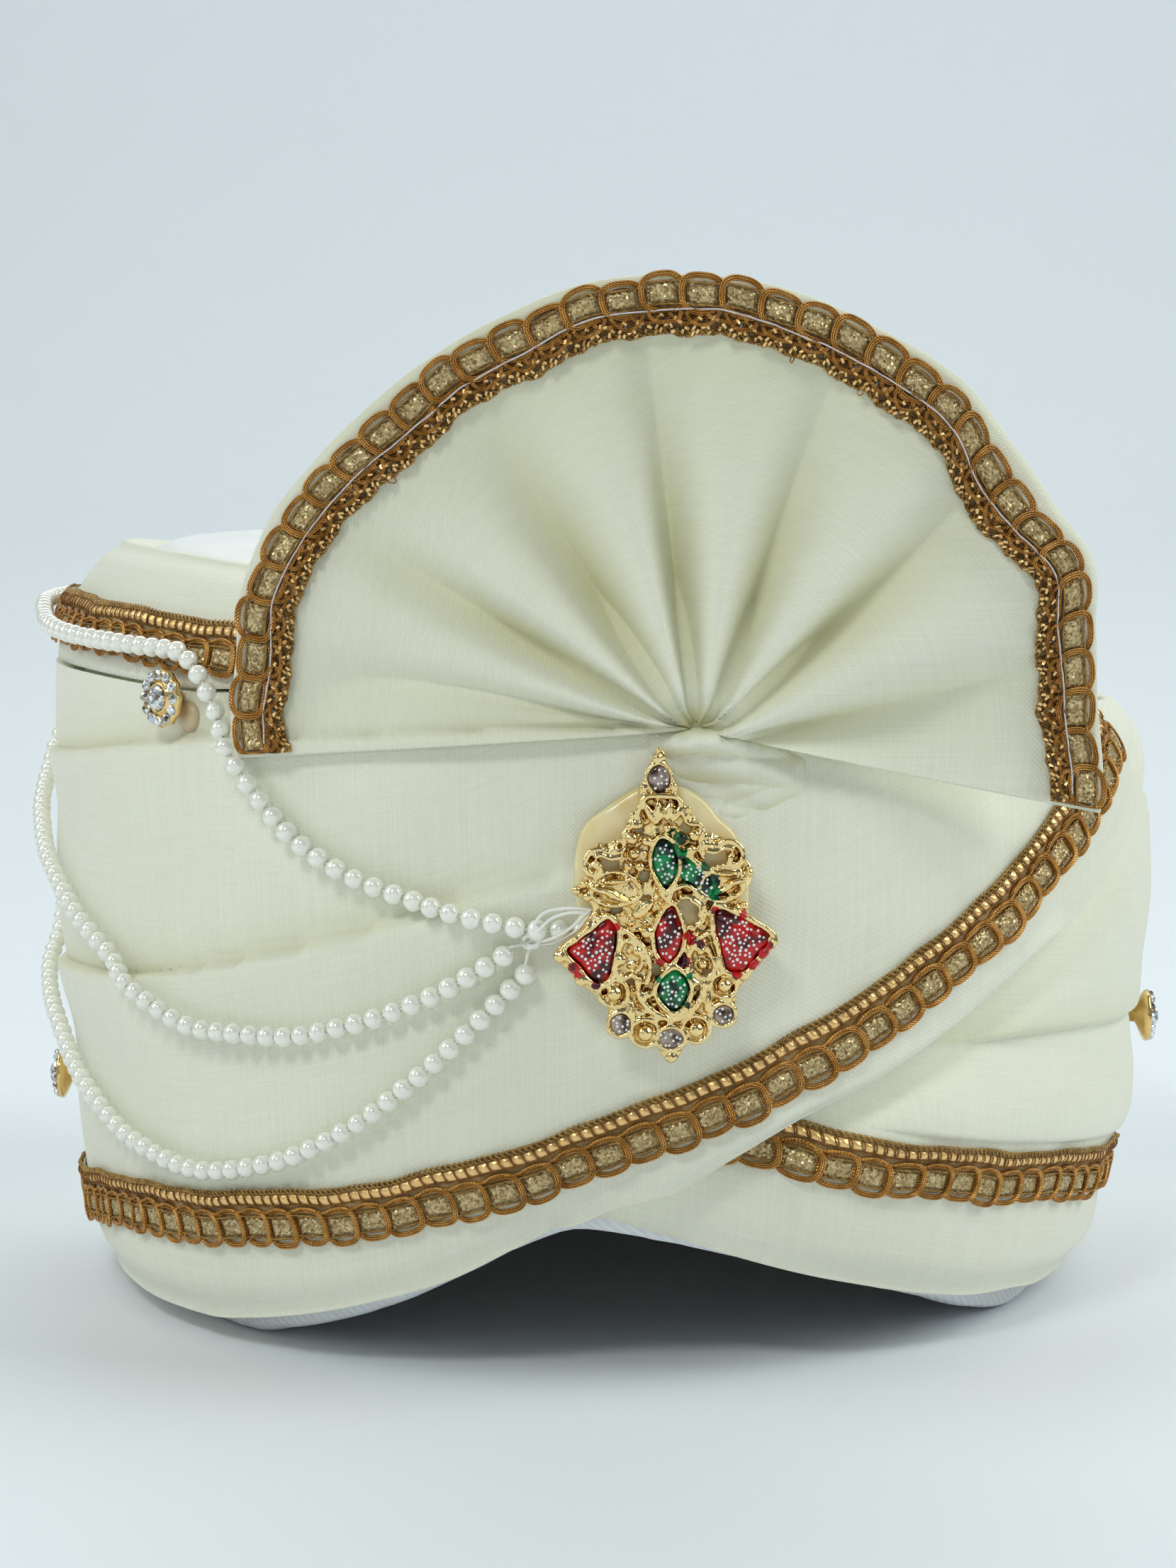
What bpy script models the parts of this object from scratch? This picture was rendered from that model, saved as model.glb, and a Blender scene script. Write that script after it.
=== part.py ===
# Ready-made groom's turban that stands on its rim: padded cap, wound cloth, pleated fan, gold lace,
# cast brooch, strings of pearl beads and rhinestone studs. Sizes are in millimetres, +Z is up, the
# front faces -Y. Angles go round the head in degrees: 0 at the front, 90 at the viewer's right.

import bmesh
import bpy
from math import atan2, ceil, cos, pi, radians, sin
from mathutils import Vector

MM = 0.001

# The wound wall, as offsets from one reference oval
HALF_WIDTH = 119.0
HALF_DEPTH = 127.0
OVAL_CENTRE_X = 1.2
OVAL_CENTRE_Y = 4.4
CLOTH_INSIDE = -20.0
CAP_OUTSIDE = -20.4
CAP_INSIDE = -33.0
CAP_EDGE_ROUNDING = 2.0
WRAP_DEPTH = 5.2
WRAP_CLEARANCE = 0.8
GAP = 0.3
STEPS_ROUND = 50

# The slanted top
CREST_MIDDLE = 144.6
CREST_SLOPE = -0.139
CROWN_EDGE_DROP = 2.0
CROWN_BULGE = 8.0
CROWN_THICKNESS = 3.0
ROLL_INNER_DROP = 2.5

# Gold lace
LACE_THICKNESS = 1.3
LACE_LIFT = 0.45
LACE_PITCH = 8.6
SCALLOP_DEPTH = 1.6

# The fan, in polar sizes about its knot
KNOT_X = 17.2
KNOT_Z = 125.0
FAN_ROOT = 8.35
FAN_FROM = -12.0
FAN_TO = 184.0
FAN_FRONT_Y = -134.0
FAN_CURVE_RADIUS = 230.0
FAN_THICKNESS = 2.2
FAN_MARGIN = 1.3
FAN_LACE_WIDTH = 10.4
FAN_STEPS = 54
PLEAT_DEPTH = 5.0

# Pearl strings
BEAD_RADIUS = 2.0

# Brooch
BROOCH_X = 12.6
BROOCH_Z = 92.9
BROOCH_THICKNESS = 1.3
BROOCH_STAND = 3.3
PATCH_THICKNESS = 2.0

# Colour, roughness and metallic value of each kind of surface
IVORY = ((0.80, 0.80, 0.66), 0.75, 0.0)
WHITE = ((0.84, 0.85, 0.86), 0.7, 0.0)
GOLD_LACE = ((0.42, 0.22, 0.07), 0.4, 0.6)
GOLD = ((0.83, 0.56, 0.20), 0.22, 1.0)
PEARL = ((0.86, 0.85, 0.80), 0.25, 0.0)
RUBY = ((0.42, 0.01, 0.03), 0.15, 0.0)
EMERALD = ((0.01, 0.16, 0.06), 0.15, 0.0)
CRYSTAL = ((0.75, 0.74, 0.74), 0.1, 0.0)
GLUE = ((0.72, 0.52, 0.26), 0.35, 0.0)
THREAD = ((0.84, 0.85, 0.86), 0.6, 0.0)


class Table:
    """Rows of sizes; at() reads one column smoothly between the rows."""

    def __init__(self, columns, *rows):
        self.columns = columns
        self.rows = rows

    def at(self, column, where):
        k = self.columns.index(column)
        rows = self.rows
        if where <= rows[0][0]:
            return rows[0][k]
        if where >= rows[-1][0]:
            return rows[-1][k]
        i = 0
        while rows[i + 1][0] < where:
            i += 1
        span = rows[i + 1][0] - rows[i][0]
        share = (where - rows[i][0]) / span
        first = self.slope(i, k) * span
        last = self.slope(i + 1, k) * span
        a, b = rows[i][k], rows[i + 1][k]
        return (
            a * (1 + 2 * share) * (1 - share) ** 2
            + first * share * (1 - share) ** 2
            + b * share**2 * (3 - 2 * share)
            - last * share**2 * (1 - share)
        )

    def slope(self, i, k):
        rows = self.rows
        if i == 0 or i == len(rows) - 1:
            return 0.0
        before = (rows[i][k] - rows[i - 1][k]) / (rows[i][0] - rows[i - 1][0])
        after = (rows[i + 1][k] - rows[i][k]) / (rows[i + 1][0] - rows[i][0])
        if before * after <= 0:
            return 0.0
        return 2 * before * after / (before + after)


# Lower edges: the cap's rim touches the floor at the sides and back, and both arch over the forehead
RIM = Table(
    ("angle", "cap", "cloth"),
    (-180, 0, 5),
    (-60, 0, 4.5),
    (-46, 0, 5),
    (-39, 2.5, 7),
    (-31, 6.5, 10.3),
    (-24, 11, 14),
    (-15, 18.5, 20),
    (-8, 24.5, 27),
    (-2.5, 27.5, 31.8),
    (8, 24.5, 27.2),
    (15, 21.5, 23.1),
    (27, 15.5, 16.8),
    (35, 11.5, 13),
    (43, 7.5, 10),
    (52, 2.5, 8),
    (60, 0, 6),
    (80, 0, 5),
    (180, 0, 5),
)

# Outer surface of the cloth: offset from the oval at each share of the height from rim to crest
SIDES = Table(
    ("share", "left", "front", "right", "back"),
    (0.00, -12.0, -10.0, -15.0, -13.0),
    (0.05, -8.0, -7.0, -10.0, -9.0),
    (0.12, -6.6, -5.0, -8.4, -6.5),
    (0.20, -4.2, -3.6, -6.2, -4.5),
    (0.27, -3.4, -2.6, -2.4, -3.0),
    (0.33, -3.0, -2.0, -1.2, -2.2),
    (0.42, -2.0, -1.0, -0.4, -1.2),
    (0.50, -0.6, -0.4, 0.6, -0.4),
    (0.60, 0.0, 0.0, 1.6, 0.0),
    (0.73, 0.0, -0.3, 1.5, -0.4),
    (0.83, -0.9, -1.4, 0.2, -1.6),
    (0.89, -2.4, -3.2, -2.2, -3.6),
    (0.94, -6.0, -6.2, -6.4, -6.8),
    (0.98, -10.5, -10.5, -12.0, -11.0),
    (1.00, -15.0, -15.0, -17.0, -15.5),
)

# Where the top roll starts, measured down from the crest
ROLL = Table(
    ("angle", "drop"),
    (-180, 26),
    (-90, 25),
    (-45, 24),
    (-15, 14),
    (0, 8),
    (40, 7),
    (75, 5),
    (105, 5),
    (122, 6),
    (150, 20),
    (180, 26),
)

# Lower edge of the front wrap where it crosses over the base wrap
CROSSING = Table(
    ("angle", "edge"),
    (-4, 30.6),
    (2, 35.1),
    (7, 37.8),
    (12, 43.3),
    (19, 50.7),
    (26, 56.5),
    (33, 63.6),
    (38, 68.8),
    (46, 78.5),
    (55, 87.5),
    (64, 98.5),
    (72, 107),
    (82, 113.5),
    (98, 119),
    (120, 121),
)

# Folded edges of the tiers on the front wrap, which run from the left side to the knot
TIERS = Table(
    ("angle", "lower", "upper"),
    (-180, 66, 108),
    (-90, 68.5, 114),
    (-67, 70.8, 116),
    (-55, 72.4, 118.3),
    (-45, 75.2, 120.6),
    (-30, 82, 122.8),
    (-13, 92.3, 124.3),
    (-1, 100.8, 125),
    (9, 111, 126),
    (22, 105, 121),
    (60, 113, 119),
    (120, 122, 122.6),
)

# Fold of the base wrap, seen at the right side and behind
FOLD = Table(
    ("angle", "height"),
    (-180, 55),
    (34, 62.9),
    (42, 63.2),
    (55, 62.4),
    (74, 60.2),
    (95, 57),
    (180, 55),
)

# Upper edges of the lace round the body
FRONT_LACE = Table(
    ("angle", "height", "width"),
    (-94, 23.4, 11.0),
    (-80, 24.4, 11.3),
    (-61, 30, 11.7),
    (-47, 32.3, 11.7),
    (-35, 35, 11.7),
    (-21, 39.6, 11.7),
    (-13.6, 44, 11.7),
    (-6.7, 48.4, 11.7),
    (-1, 52.5, 11.7),
    (7.5, 59.5, 11.6),
    (13, 64, 11.4),
    (21.5, 72.7, 11),
    (26.6, 79, 10.8),
    (33.7, 87.7, 10.4),
    (40, 96.7, 10),
    (48, 108, 9.6),
    (54, 116, 9.6),
    (60, 123, 9.6),
    (63.5, 126.6, 9.6),
)
SIDE_LACE = Table(
    ("angle", "height", "width"),
    (16, 46.4, 3.8),
    (18, 48.4, 6.8),
    (20.6, 49.4, 9.8),
    (23, 48.8, 11),
    (27, 47, 11),
    (33.5, 44.2, 11),
    (38.5, 42.3, 11),
    (47, 39.4, 11),
    (56, 36.8, 11),
    (72, 33.2, 11),
    (90, 29.8, 11),
    (180, 26, 11),
    (262, 23.4, 11),
)
UPPER_LACE = Table(
    ("angle", "drop", "width"),
    (126, 9, 11),
    (150, 10, 11),
    (345, 10, 11),
)

# Pearl strings, from the tie beside the brooch to the left side; stand is the height of a bead's
# middle above the cloth
PEARLS = {
    "pearl_string_top": Table(
        ("step", "angle", "height", "stand"),
        (0, -4.0, 89.6, 2.6),
        (1, -14, 91.8, 2.6),
        (2, -22, 96.8, 2.6),
        (3, -28.5, 104.6, 2.6),
        (4, -33, 114.6, 3.0),
        (5, -36.4, 125.4, 3.6),
        (6, -38.8, 133.6, 4.4),
        (7, -42.0, 138.0, 4.7),
        (8, -48, 138.8, 4.6),
        (9, -58, 139.8, 4.6),
        (10, -72, 142.2, 4.6),
        (11, -86, 146, 4.6),
        (12, -99, 147.2, 4.6),
    ),
    "pearl_string_middle": Table(
        ("step", "angle", "height", "stand"),
        (0, -8.4, 83.6, 2.6),
        (1, -15, 75.5, 2.6),
        (2, -23, 69.2, 2.6),
        (3, -31, 65.8, 2.8),
        (4, -39, 65.6, 2.8),
        (5, -48, 71, 2.8),
        (6, -58, 80.5, 2.8),
        (7, -67, 89, 2.8),
        (8, -80, 98, 3.2),
        (9, -93, 109, 3.8),
        (10, -100, 125, 4.6),
        (11, -102, 140, 5.4),
    ),
    "pearl_string_low": Table(
        ("step", "angle", "height", "stand"),
        (0, -6.6, 80.2, 2.6),
        (1, -11.6, 69.5, 2.6),
        (2, -17.6, 58.2, 2.6),
        (3, -24, 48.6, 2.6),
        (4, -32.5, 40.8, 2.6),
        (5, -42, 37.4, 2.8),
        (6, -52, 40, 2.8),
        (7, -62, 47, 2.8),
        (8, -76, 58, 2.8),
        (9, -91, 72, 3.2),
        (10, -101, 92, 4.0),
        (11, -106, 115, 4.2),
        (12, -107.5, 140, 5.4),
    ),
}

# Fan: outline of the cloth, and the valleys of its pleats, by the direction from the knot
FAN_OUTLINE = Table(
    ("direction", "radius"),
    (-12, 76.5),
    (3, 74.5),
    (14, 76),
    (23, 79.2),
    (32, 77.2),
    (44, 77.8),
    (54, 79.5),
    (65, 80),
    (74, 81.2),
    (89, 82.8),
    (104, 83.8),
    (115, 83.2),
    (126, 83.4),
    (136, 84),
    (145, 85.4),
    (154, 87.4),
    (163, 87.6),
    (172, 85.8),
    (184, 86),
)
FAN_VALLEYS = (-26, 11, 40, 73, 98, 124, 150, 168, 197)

# Studs: where each stands, its angle and height
STUDS = {
    "flower_stud_front": (-43.2, 129.0),
    "flower_stud_left": (-88.0, 41.0),
    "flower_stud_right": (86.0, 54.5),
}
STUD_RADIUS = 5.8
STUD_LOBES = 12

# Brooch, from its middle: across and up
BROOCH_OUTLINE = Table(
    ("across", "up"),
    (-1.0, 29.0),
    (0.4, 24.0),
    (2.2, 21.2),
    (2.6, 18.4),
    (5.2, 17.0),
    (6.2, 14.4),
    (9.4, 12.8),
    (12.6, 12.0),
    (14.4, 9.0),
    (16.2, 6.0),
    (14.8, 2.8),
    (12.4, 1.0),
    (15.0, -1.0),
    (17.4, -4.0),
    (20.4, -6.4),
    (18.0, -9.8),
    (14.8, -13.6),
    (12.6, -16.4),
    (12.0, -21.0),
    (8.6, -22.2),
    (7.0, -24.6),
    (3.4, -25.4),
    (2.2, -28.0),
    (0.8, -29.0),
    (-0.6, -28.0),
    (-1.6, -25.4),
    (-5.6, -25.2),
    (-7.2, -23.4),
    (-10.4, -22.4),
    (-10.8, -18.4),
    (-13.4, -16.4),
    (-17.6, -12.2),
    (-20.2, -9.4),
    (-18.4, -6.6),
    (-15.4, -3.2),
    (-14.2, 0.2),
    (-17.4, 3.2),
    (-15.0, 5.6),
    (-14.8, 9.0),
    (-12.2, 11.8),
    (-8.8, 13.0),
    (-7.2, 16.4),
    (-4.8, 18.8),
    (-5.0, 21.6),
    (-3.2, 25.4),
    (-2.4, 28.6),
)
BROOCH_BALLS = Table(
    ("across", "up", "radius"),
    (-1.7, 26.4, 1.0),
    (0.9, -27.4, 1.3),
    (-6.0, 12.0, 1.5),
    (5.4, 12.0, 1.6),
    (-15.4, 3.2, 1.6),
    (14.0, 5.4, 1.6),
    (-18.2, -9.0, 1.5),
    (19.6, -6.4, 1.2),
    (-9.6, -16.0, 1.6),
    (10.4, -14.6, 1.6),
    (-4.0, -22.6, 1.9),
    (5.4, -22.2, 1.9),
    (-4.0, -4.8, 1.3),
)
BROOCH_HOLES = Table(
    ("across", "up", "radius"),
    (-10.4, 7.6, 1.5),
    (9.4, 8.6, 1.5),
    (4.8, -1.2, 2.0),
    (-7.0, -10.4, 1.2),
    (7.6, -9.6, 1.2),
    (-4.6, -16.6, 1.0),
    (7.0, -17.8, 1.0),
)
ENAMEL = {
    "stone_green_top": (-0.2, 7.6, 2.6, 4.8, -10, EMERALD),
    "stone_red_middle": (0.2, -4.9, 2.3, 5.0, 2, RUBY),
    "stone_red_left": (-13.0, -7.4, 4.2, 5.2, -6, RUBY),
    "stone_red_right": (13.3, -6.1, 4.4, 5.2, 6, RUBY),
    "stone_green_bottom": (1.4, -15.4, 2.7, 3.8, 4, EMERALD),
}
CRYSTALS = {
    "crystal_top": (-1.7, 22.6, 1.9),
    "crystal_left": (-8.4, -20.8, 1.8),
    "crystal_right": (10.0, -19.4, 1.8),
    "crystal_bottom": (0.7, -23.6, 1.6),
}


def clear_scene():
    for item in list(bpy.data.objects):
        bpy.data.objects.remove(item, do_unlink=True)


def material(name, look):
    colour, roughness, metallic = look
    made = bpy.data.materials.new(name)
    made.use_nodes = True
    shader = made.node_tree.nodes["Principled BSDF"]
    shader.inputs["Base Color"].default_value = (*colour, 1)
    shader.inputs["Roughness"].default_value = roughness
    shader.inputs["Metallic"].default_value = metallic
    return made


def add_object(name, mesh, look, sharp_angle=40):
    """Link a mesh as a named object with its own material, its faces turned outwards."""
    build = bmesh.new()
    build.from_mesh(mesh)
    bmesh.ops.recalc_face_normals(build, faces=build.faces)
    build.to_mesh(mesh)
    build.free()
    mesh.shade_smooth()
    mesh.set_sharp_from_angle(angle=radians(sharp_angle))
    mesh.materials.append(material(name, look))
    made = bpy.data.objects.new(name, mesh)
    bpy.context.scene.collection.objects.link(made)
    return made


def mesh_of(name, points, faces):
    mesh = bpy.data.meshes.new(name)
    mesh.from_pydata([p * MM for p in points], [], faces)
    mesh.update()
    return mesh


def place(x, y, z):
    """A point in the part's frame from one in the oval's frame."""
    return Vector((x + OVAL_CENTRE_X, y + OVAL_CENTRE_Y, z))


def on_oval(angle, height, out):
    """The point at an angle and height, offset outwards from the reference oval."""
    turn = radians(angle)
    return place((HALF_WIDTH + out) * sin(turn), -(HALF_DEPTH + out) * cos(turn), height)


def outward(angle):
    turn = radians(angle)
    return Vector((sin(turn) / HALF_WIDTH, -cos(turn) / HALF_DEPTH, 0)).normalized()


def ease(value):
    """0 below 0, 1 above 1, and a smooth step between."""
    value = min(1.0, max(0.0, value))
    return value * value * (3 - 2 * value)


def half_turn(angle):
    """The same direction between -180 and 180 degrees."""
    return (angle + 180) % 360 - 180


def crest(angle):
    reach = HALF_WIDTH - 15
    return CREST_MIDDLE + CREST_SLOPE * reach * sin(radians(angle))


def roll_line(angle):
    return crest(angle) - ROLL.at("drop", angle)


def envelope(angle, height):
    """Offset of the cloth's outer surface from the oval."""
    low = RIM.at("cloth", angle)
    share = (height - low) / (crest(angle) - low)
    across, along = sin(radians(angle)), cos(radians(angle))
    side = "right" if across > 0 else "left"
    end = "front" if along > 0 else "back"
    return SIDES.at(side, share) * across**2 + SIDES.at(end, share) * along**2


def wrap_share(angle):
    """Thickness of the front wrap as a share of its full depth: thin at its tucked ends."""
    return (0.3 + 0.7 * ease((angle + 172) / 22)) * (1 - 0.5 * ease((angle - 98) / 20))


def wrap_edge(angle):
    """Lower edge of the front wrap."""
    return RIM.at("cloth", angle) if angle < -4 else CROSSING.at("edge", angle)


def shared_levels(angle):
    """Heights of the rows where the front wrap lies on the base wrap."""
    low, top = wrap_edge(angle), roll_line(angle) - GAP
    return [low + (top - low) * share for share in (0, 0.1, 0.36, 0.74, 1)]


def along_rows(levels, offsets, height):
    """Offset at a height on the straight facets between rows."""
    for i in range(len(levels) - 1):
        if height <= levels[i + 1] or i == len(levels) - 2:
            share = (height - levels[i]) / (levels[i + 1] - levels[i])
            return offsets[i] + (offsets[i + 1] - offsets[i]) * share


def shared_out(angle, height):
    """Inner face of the front wrap."""
    levels = shared_levels(angle)
    depth = WRAP_DEPTH * wrap_share(angle)
    return along_rows(levels, [envelope(angle, z) - depth for z in levels], height)


def under_wrap(angle, height):
    """1 where the base wrap lies under the front wrap, 0 where it is open to view."""
    if angle < -172 or angle > 121:
        return 0.0
    if angle < 8:
        return 1.0
    ramp = ease((height - wrap_edge(angle) + 12) / 11)
    return max(ramp, 1 - ease((angle - 8) / 17))


def step_at(height, line, rise, reach):
    """A folded edge that faces up: the cloth stands proud below the line and fades in below it."""
    below = line - height
    if below < 0:
        return 0.0
    return rise * (1 - ease(below / reach))


def rings(name, rows, look, closed=True, sharp_angle=40):
    """A solid from cross-sections that are loops of the same number of points."""
    count, around = len(rows), len(rows[0])
    points = [p for row in rows for p in row]
    faces = []
    for i in range(count if closed else count - 1):
        j = (i + 1) % count
        for k in range(around):
            n = (k + 1) % around
            faces.append((i * around + k, i * around + n, j * around + n, j * around + k))
    if not closed:
        faces.append(tuple(range(around)))
        faces.append(tuple(range(len(points) - around, len(points))))
    return add_object(name, mesh_of(name, points, faces), look, sharp_angle)


def angles_round(start=-180.0, end=180.0):
    step = 360 / STEPS_ROUND
    first = ceil((start + 180) / step - 1e-6)
    last = int((end + 180) / step + 1e-6)
    return [-180 + step * i for i in range(first, last + 1)]


# White cap: the padded lining with its flat satin crown
def crown_height(angle, share):
    """Top of the crown at a share of the way from its middle to its edge."""
    edge = crest(angle) - CROWN_EDGE_DROP
    middle = CREST_MIDDLE - CROWN_EDGE_DROP
    return middle + (edge - middle) * share + CROWN_BULGE * (1 - share**8)


def cap_section(angle):
    """Points from the outer crown down the outside, round the rim and up the inside."""
    half_w, half_d = HALF_WIDTH + CAP_OUTSIDE, HALF_DEPTH + CAP_OUTSIDE
    turn = radians(angle)
    rim = RIM.at("cap", angle)
    top = crest(angle)

    def inward(share, height, shrink=0.0):
        return place(
            (half_w - shrink) * share * sin(turn), -(half_d - shrink) * share * cos(turn), height
        )

    outer_crown = [inward(s, crown_height(angle, s)) for s in (0.72, 0.9, 0.985)]
    wall = [
        on_oval(angle, top - CROWN_EDGE_DROP - 2.5, CAP_OUTSIDE),
        on_oval(angle, rim + CAP_EDGE_ROUNDING, CAP_OUTSIDE),
        on_oval(angle, rim, CAP_OUTSIDE - CAP_EDGE_ROUNDING),
        on_oval(angle, rim, CAP_INSIDE + CAP_EDGE_ROUNDING),
        on_oval(angle, rim + CAP_EDGE_ROUNDING, CAP_INSIDE),
        on_oval(angle, top - 17, CAP_INSIDE + 2),
    ]
    inner_crown = [
        inward(s, crown_height(angle, s) - CROWN_THICKNESS - 4 * s**3, 10) for s in (0.84, 0.45)
    ]
    return outer_crown + wall + inner_crown


def lined_cap(look):
    sections = [cap_section(a) for a in angles_round()[:-1]]
    around = len(sections[0])
    points = [p for row in sections for p in row]
    top, under = len(points), len(points) + 1
    points.append(place(0, 0, crown_height(0, 0)))
    points.append(place(0, 0, crown_height(0, 0) - CROWN_THICKNESS))
    faces = []
    for i in range(len(sections)):
        j = (i + 1) % len(sections)
        faces.append((top, i * around, j * around))
        faces.append((under, j * around + around - 1, i * around + around - 1))
        for k in range(around - 1):
            faces.append(
                (i * around + k, i * around + k + 1, j * around + k + 1, j * around + k)
            )
    return add_object("lined_cap", mesh_of("lined_cap", points, faces), look)


# Base wrap: the first turn of cloth round the cap
def base_levels(angle):
    """Heights of the rows on the base wrap, which follow its folds and the wrap that crosses it."""
    rim = RIM.at("cloth", angle)
    top = roll_line(angle) - GAP
    if angle > 8:
        edge = min(CROSSING.at("edge", min(angle, 120)), top - 1.2)
        edge -= ease((angle - 120) / 50) * 28
    else:
        edge = rim + 12 + 45 * ease((8 - angle) / 40)
    fold = min(FOLD.at("height", angle), edge - 12)
    fold = max(fold, rim + 3)
    foot = rim + 0.55 * (fold - rim)
    edge = max(edge, fold + 9)
    return (
        [rim, rim + 0.28 * (foot - rim), foot, fold - 1.2, fold + 1.2]
        + [edge - 8 * min(1, (edge - fold) / 12), edge - 1]
        + [edge + (top - edge) * s for s in (0.4, 1.0)]
    )


def base_out(angle, height):
    """Outer surface of the base wrap, open to view or sunk under the front wrap."""
    seen = ease((angle - 25) / 12) if angle > 0 else 1.0
    outer = envelope(angle, height)
    outer += step_at(height, FOLD.at("height", angle) - 0.2, -2.2, 14) * seen
    share = under_wrap(angle, height)
    if share == 0:
        return outer
    return outer + (shared_out(angle, height) - WRAP_CLEARANCE - outer) * share


def base_wrap(look):
    rows = []
    for angle in angles_round()[:-1]:
        levels = base_levels(angle)
        loop = [
            on_oval(angle, levels[-1], CLOTH_INSIDE),
            on_oval(angle, levels[0] + 0.6, CLOTH_INSIDE),
        ]
        loop += [on_oval(angle, z, base_out(angle, z)) for z in levels]
        rows.append(loop)
    return rings("base_wrap", rows, look)


# Front wrap: the outer turn, laid diagonally, in three tiers with folded upper edges
def wrap_levels(angle):
    low = wrap_edge(angle)
    top = roll_line(angle) - GAP
    lower = min(TIERS.at("lower", angle), top - 0.45 * (top - low))
    upper = min(TIERS.at("upper", angle), top - 0.1 * (top - low))
    lower = max(lower, low + 0.4 * (top - low))
    upper = max(upper, lower + 0.2 * (top - lower))
    edge_round = min(4.5, 0.2 * (lower - low))
    return [
        low,
        low + 0.3 * edge_round,
        low + edge_round,
        low + 0.5 * (lower - low),
        lower - 0.7 * min(1, (lower - low) / 10),
        lower + 0.7 * min(1, (upper - lower) / 10),
        0.5 * (lower + upper),
        upper - 0.7 * min(1, (upper - lower) / 10),
        upper + 0.7 * min(1, (top - upper) / 10),
        top,
    ]


def wrap_out(angle, height):
    """Outer surface of the front wrap, with its tiers' steps and its soft lower edge."""
    reach = 1 - ease((angle - 4) / 12)
    steps = step_at(height, TIERS.at("lower", angle), 1.3, 16) * reach
    steps += step_at(height, TIERS.at("upper", angle), 1.2, 16) * reach
    crossing = ease((angle - 2) / 14) * (1 - ease((angle - 100) / 20))
    above = height - wrap_edge(angle)
    proud = 1.6 * crossing * (1 - ease((above - 5) / 22))
    depth = WRAP_DEPTH * wrap_share(angle)
    tuck = (depth - 1.0) * (1 - ease(above / 4.5)) ** 2 * crossing
    return envelope(angle, height) + steps + proud - tuck


def front_wrap(look):
    rows = []
    for angle in angles_round(-170, 120):
        loop = [on_oval(angle, z, wrap_out(angle, z)) for z in wrap_levels(angle)]
        loop += [
            on_oval(angle, z, shared_out(angle, z)) for z in reversed(shared_levels(angle))
        ]
        rows.append(loop)
    return rings("front_wrap", rows, look, closed=False)


# Top roll: the rolled cloth round the crown
def roll_levels(angle):
    low, high = roll_line(angle) + GAP, crest(angle)
    return [low + (high - low) * share for share in (0, 0.4, 0.7, 0.86, 0.96, 1)]


def top_roll(look):
    rows = []
    for angle in angles_round()[:-1]:
        levels = roll_levels(angle)
        loop = [
            on_oval(angle, levels[-1] - ROLL_INNER_DROP, CLOTH_INSIDE),
            on_oval(angle, levels[0], CLOTH_INSIDE),
        ]
        loop += [on_oval(angle, z, envelope(angle, z)) for z in levels]
        rows.append(loop)
    return rings("top_roll", rows, look)


def cloth_at(angle, height):
    """Outermost cloth at a grid angle."""
    angle = half_turn(angle)
    pieces = [(base_levels, base_out), (roll_levels, envelope)]
    if -170 <= angle <= 121:
        pieces.append((wrap_levels, wrap_out))
    found = []
    for levels_of, surface in pieces:
        levels = levels_of(angle)
        if levels[0] <= height <= levels[-1]:
            found.append(along_rows(levels, [surface(angle, z) for z in levels], height))
    return max(found) if found else envelope(angle, height)


def cloth_out(angle, height):
    """Outermost cloth at any angle, on the flat facets between the grid angles."""
    step = 360 / STEPS_ROUND
    where = (angle + 180) / step
    before = where // 1
    ends = [cloth_at(-180 + step * (before + i), height) for i in (0, 1)]
    return ends[0] + (ends[1] - ends[0]) * (where - before)


# Fan: one sheet, pleated about the knot
def pleat(direction):
    """0 in the valley of a pleat and 1 on its ridge."""
    for first, last in zip(FAN_VALLEYS, FAN_VALLEYS[1:]):
        if first <= direction <= last:
            return abs(sin(pi * (direction - first) / (last - first))) ** 0.8
    return 0.0


def fan_front(direction, radius):
    """Front face of the fan at a direction and distance from the knot."""
    turn = radians(direction)
    x = KNOT_X + radius * cos(turn)
    z = KNOT_Z + radius * sin(turn)
    depth = min(PLEAT_DEPTH, 0.3 * radius) * (1 - 0.35 * ease((radius - 55) / 30))
    y = FAN_FRONT_Y + (x - KNOT_X) ** 2 / (2 * FAN_CURVE_RADIUS) + depth * (1 - pleat(direction))
    return place(x, y, z)


def fan_directions():
    return [FAN_FROM + (FAN_TO - FAN_FROM) * i / FAN_STEPS for i in range(FAN_STEPS + 1)]


def turra_fan(look):
    back = Vector((0, FAN_THICKNESS, 0))
    rows = []
    for direction in fan_directions():
        edge = FAN_OUTLINE.at("radius", direction)
        front = [fan_front(direction, r) for r in (FAN_ROOT, 21, 42, edge - 14, edge)]
        rows.append(front + [p + back for p in reversed(front)])
    return rings("turra_fan", rows, look, closed=False)


def fan_knot(look):
    """The gathered cloth at the fan's root: a flat lump with grooves."""
    middle = place(KNOT_X, 0, KNOT_Z + 1.6)
    rows = []
    for depth, size in ((-126.4, 0.8), (-129, 1.0), (-133.4, 0.95), (-135.6, 0.55)):
        row = []
        for i in range(20):
            turn = 2 * pi * i / 20
            groove = 1 - 0.08 * (i % 2)
            x = 8.0 * size * groove * cos(turn)
            z = 5.4 * size * groove * sin(turn)
            row.append(middle + Vector((x, depth, z)))
        rows.append(row)
    return rings("fan_knot", rows, look, closed=False)


# Gold lace: flat bands with a scalloped lower or outer edge
def scallop(along):
    """Depth of the lace's outer edge below its widest, along the band."""
    return SCALLOP_DEPTH * (1 - abs(sin(pi * along / LACE_PITCH)) ** 0.7)


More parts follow.
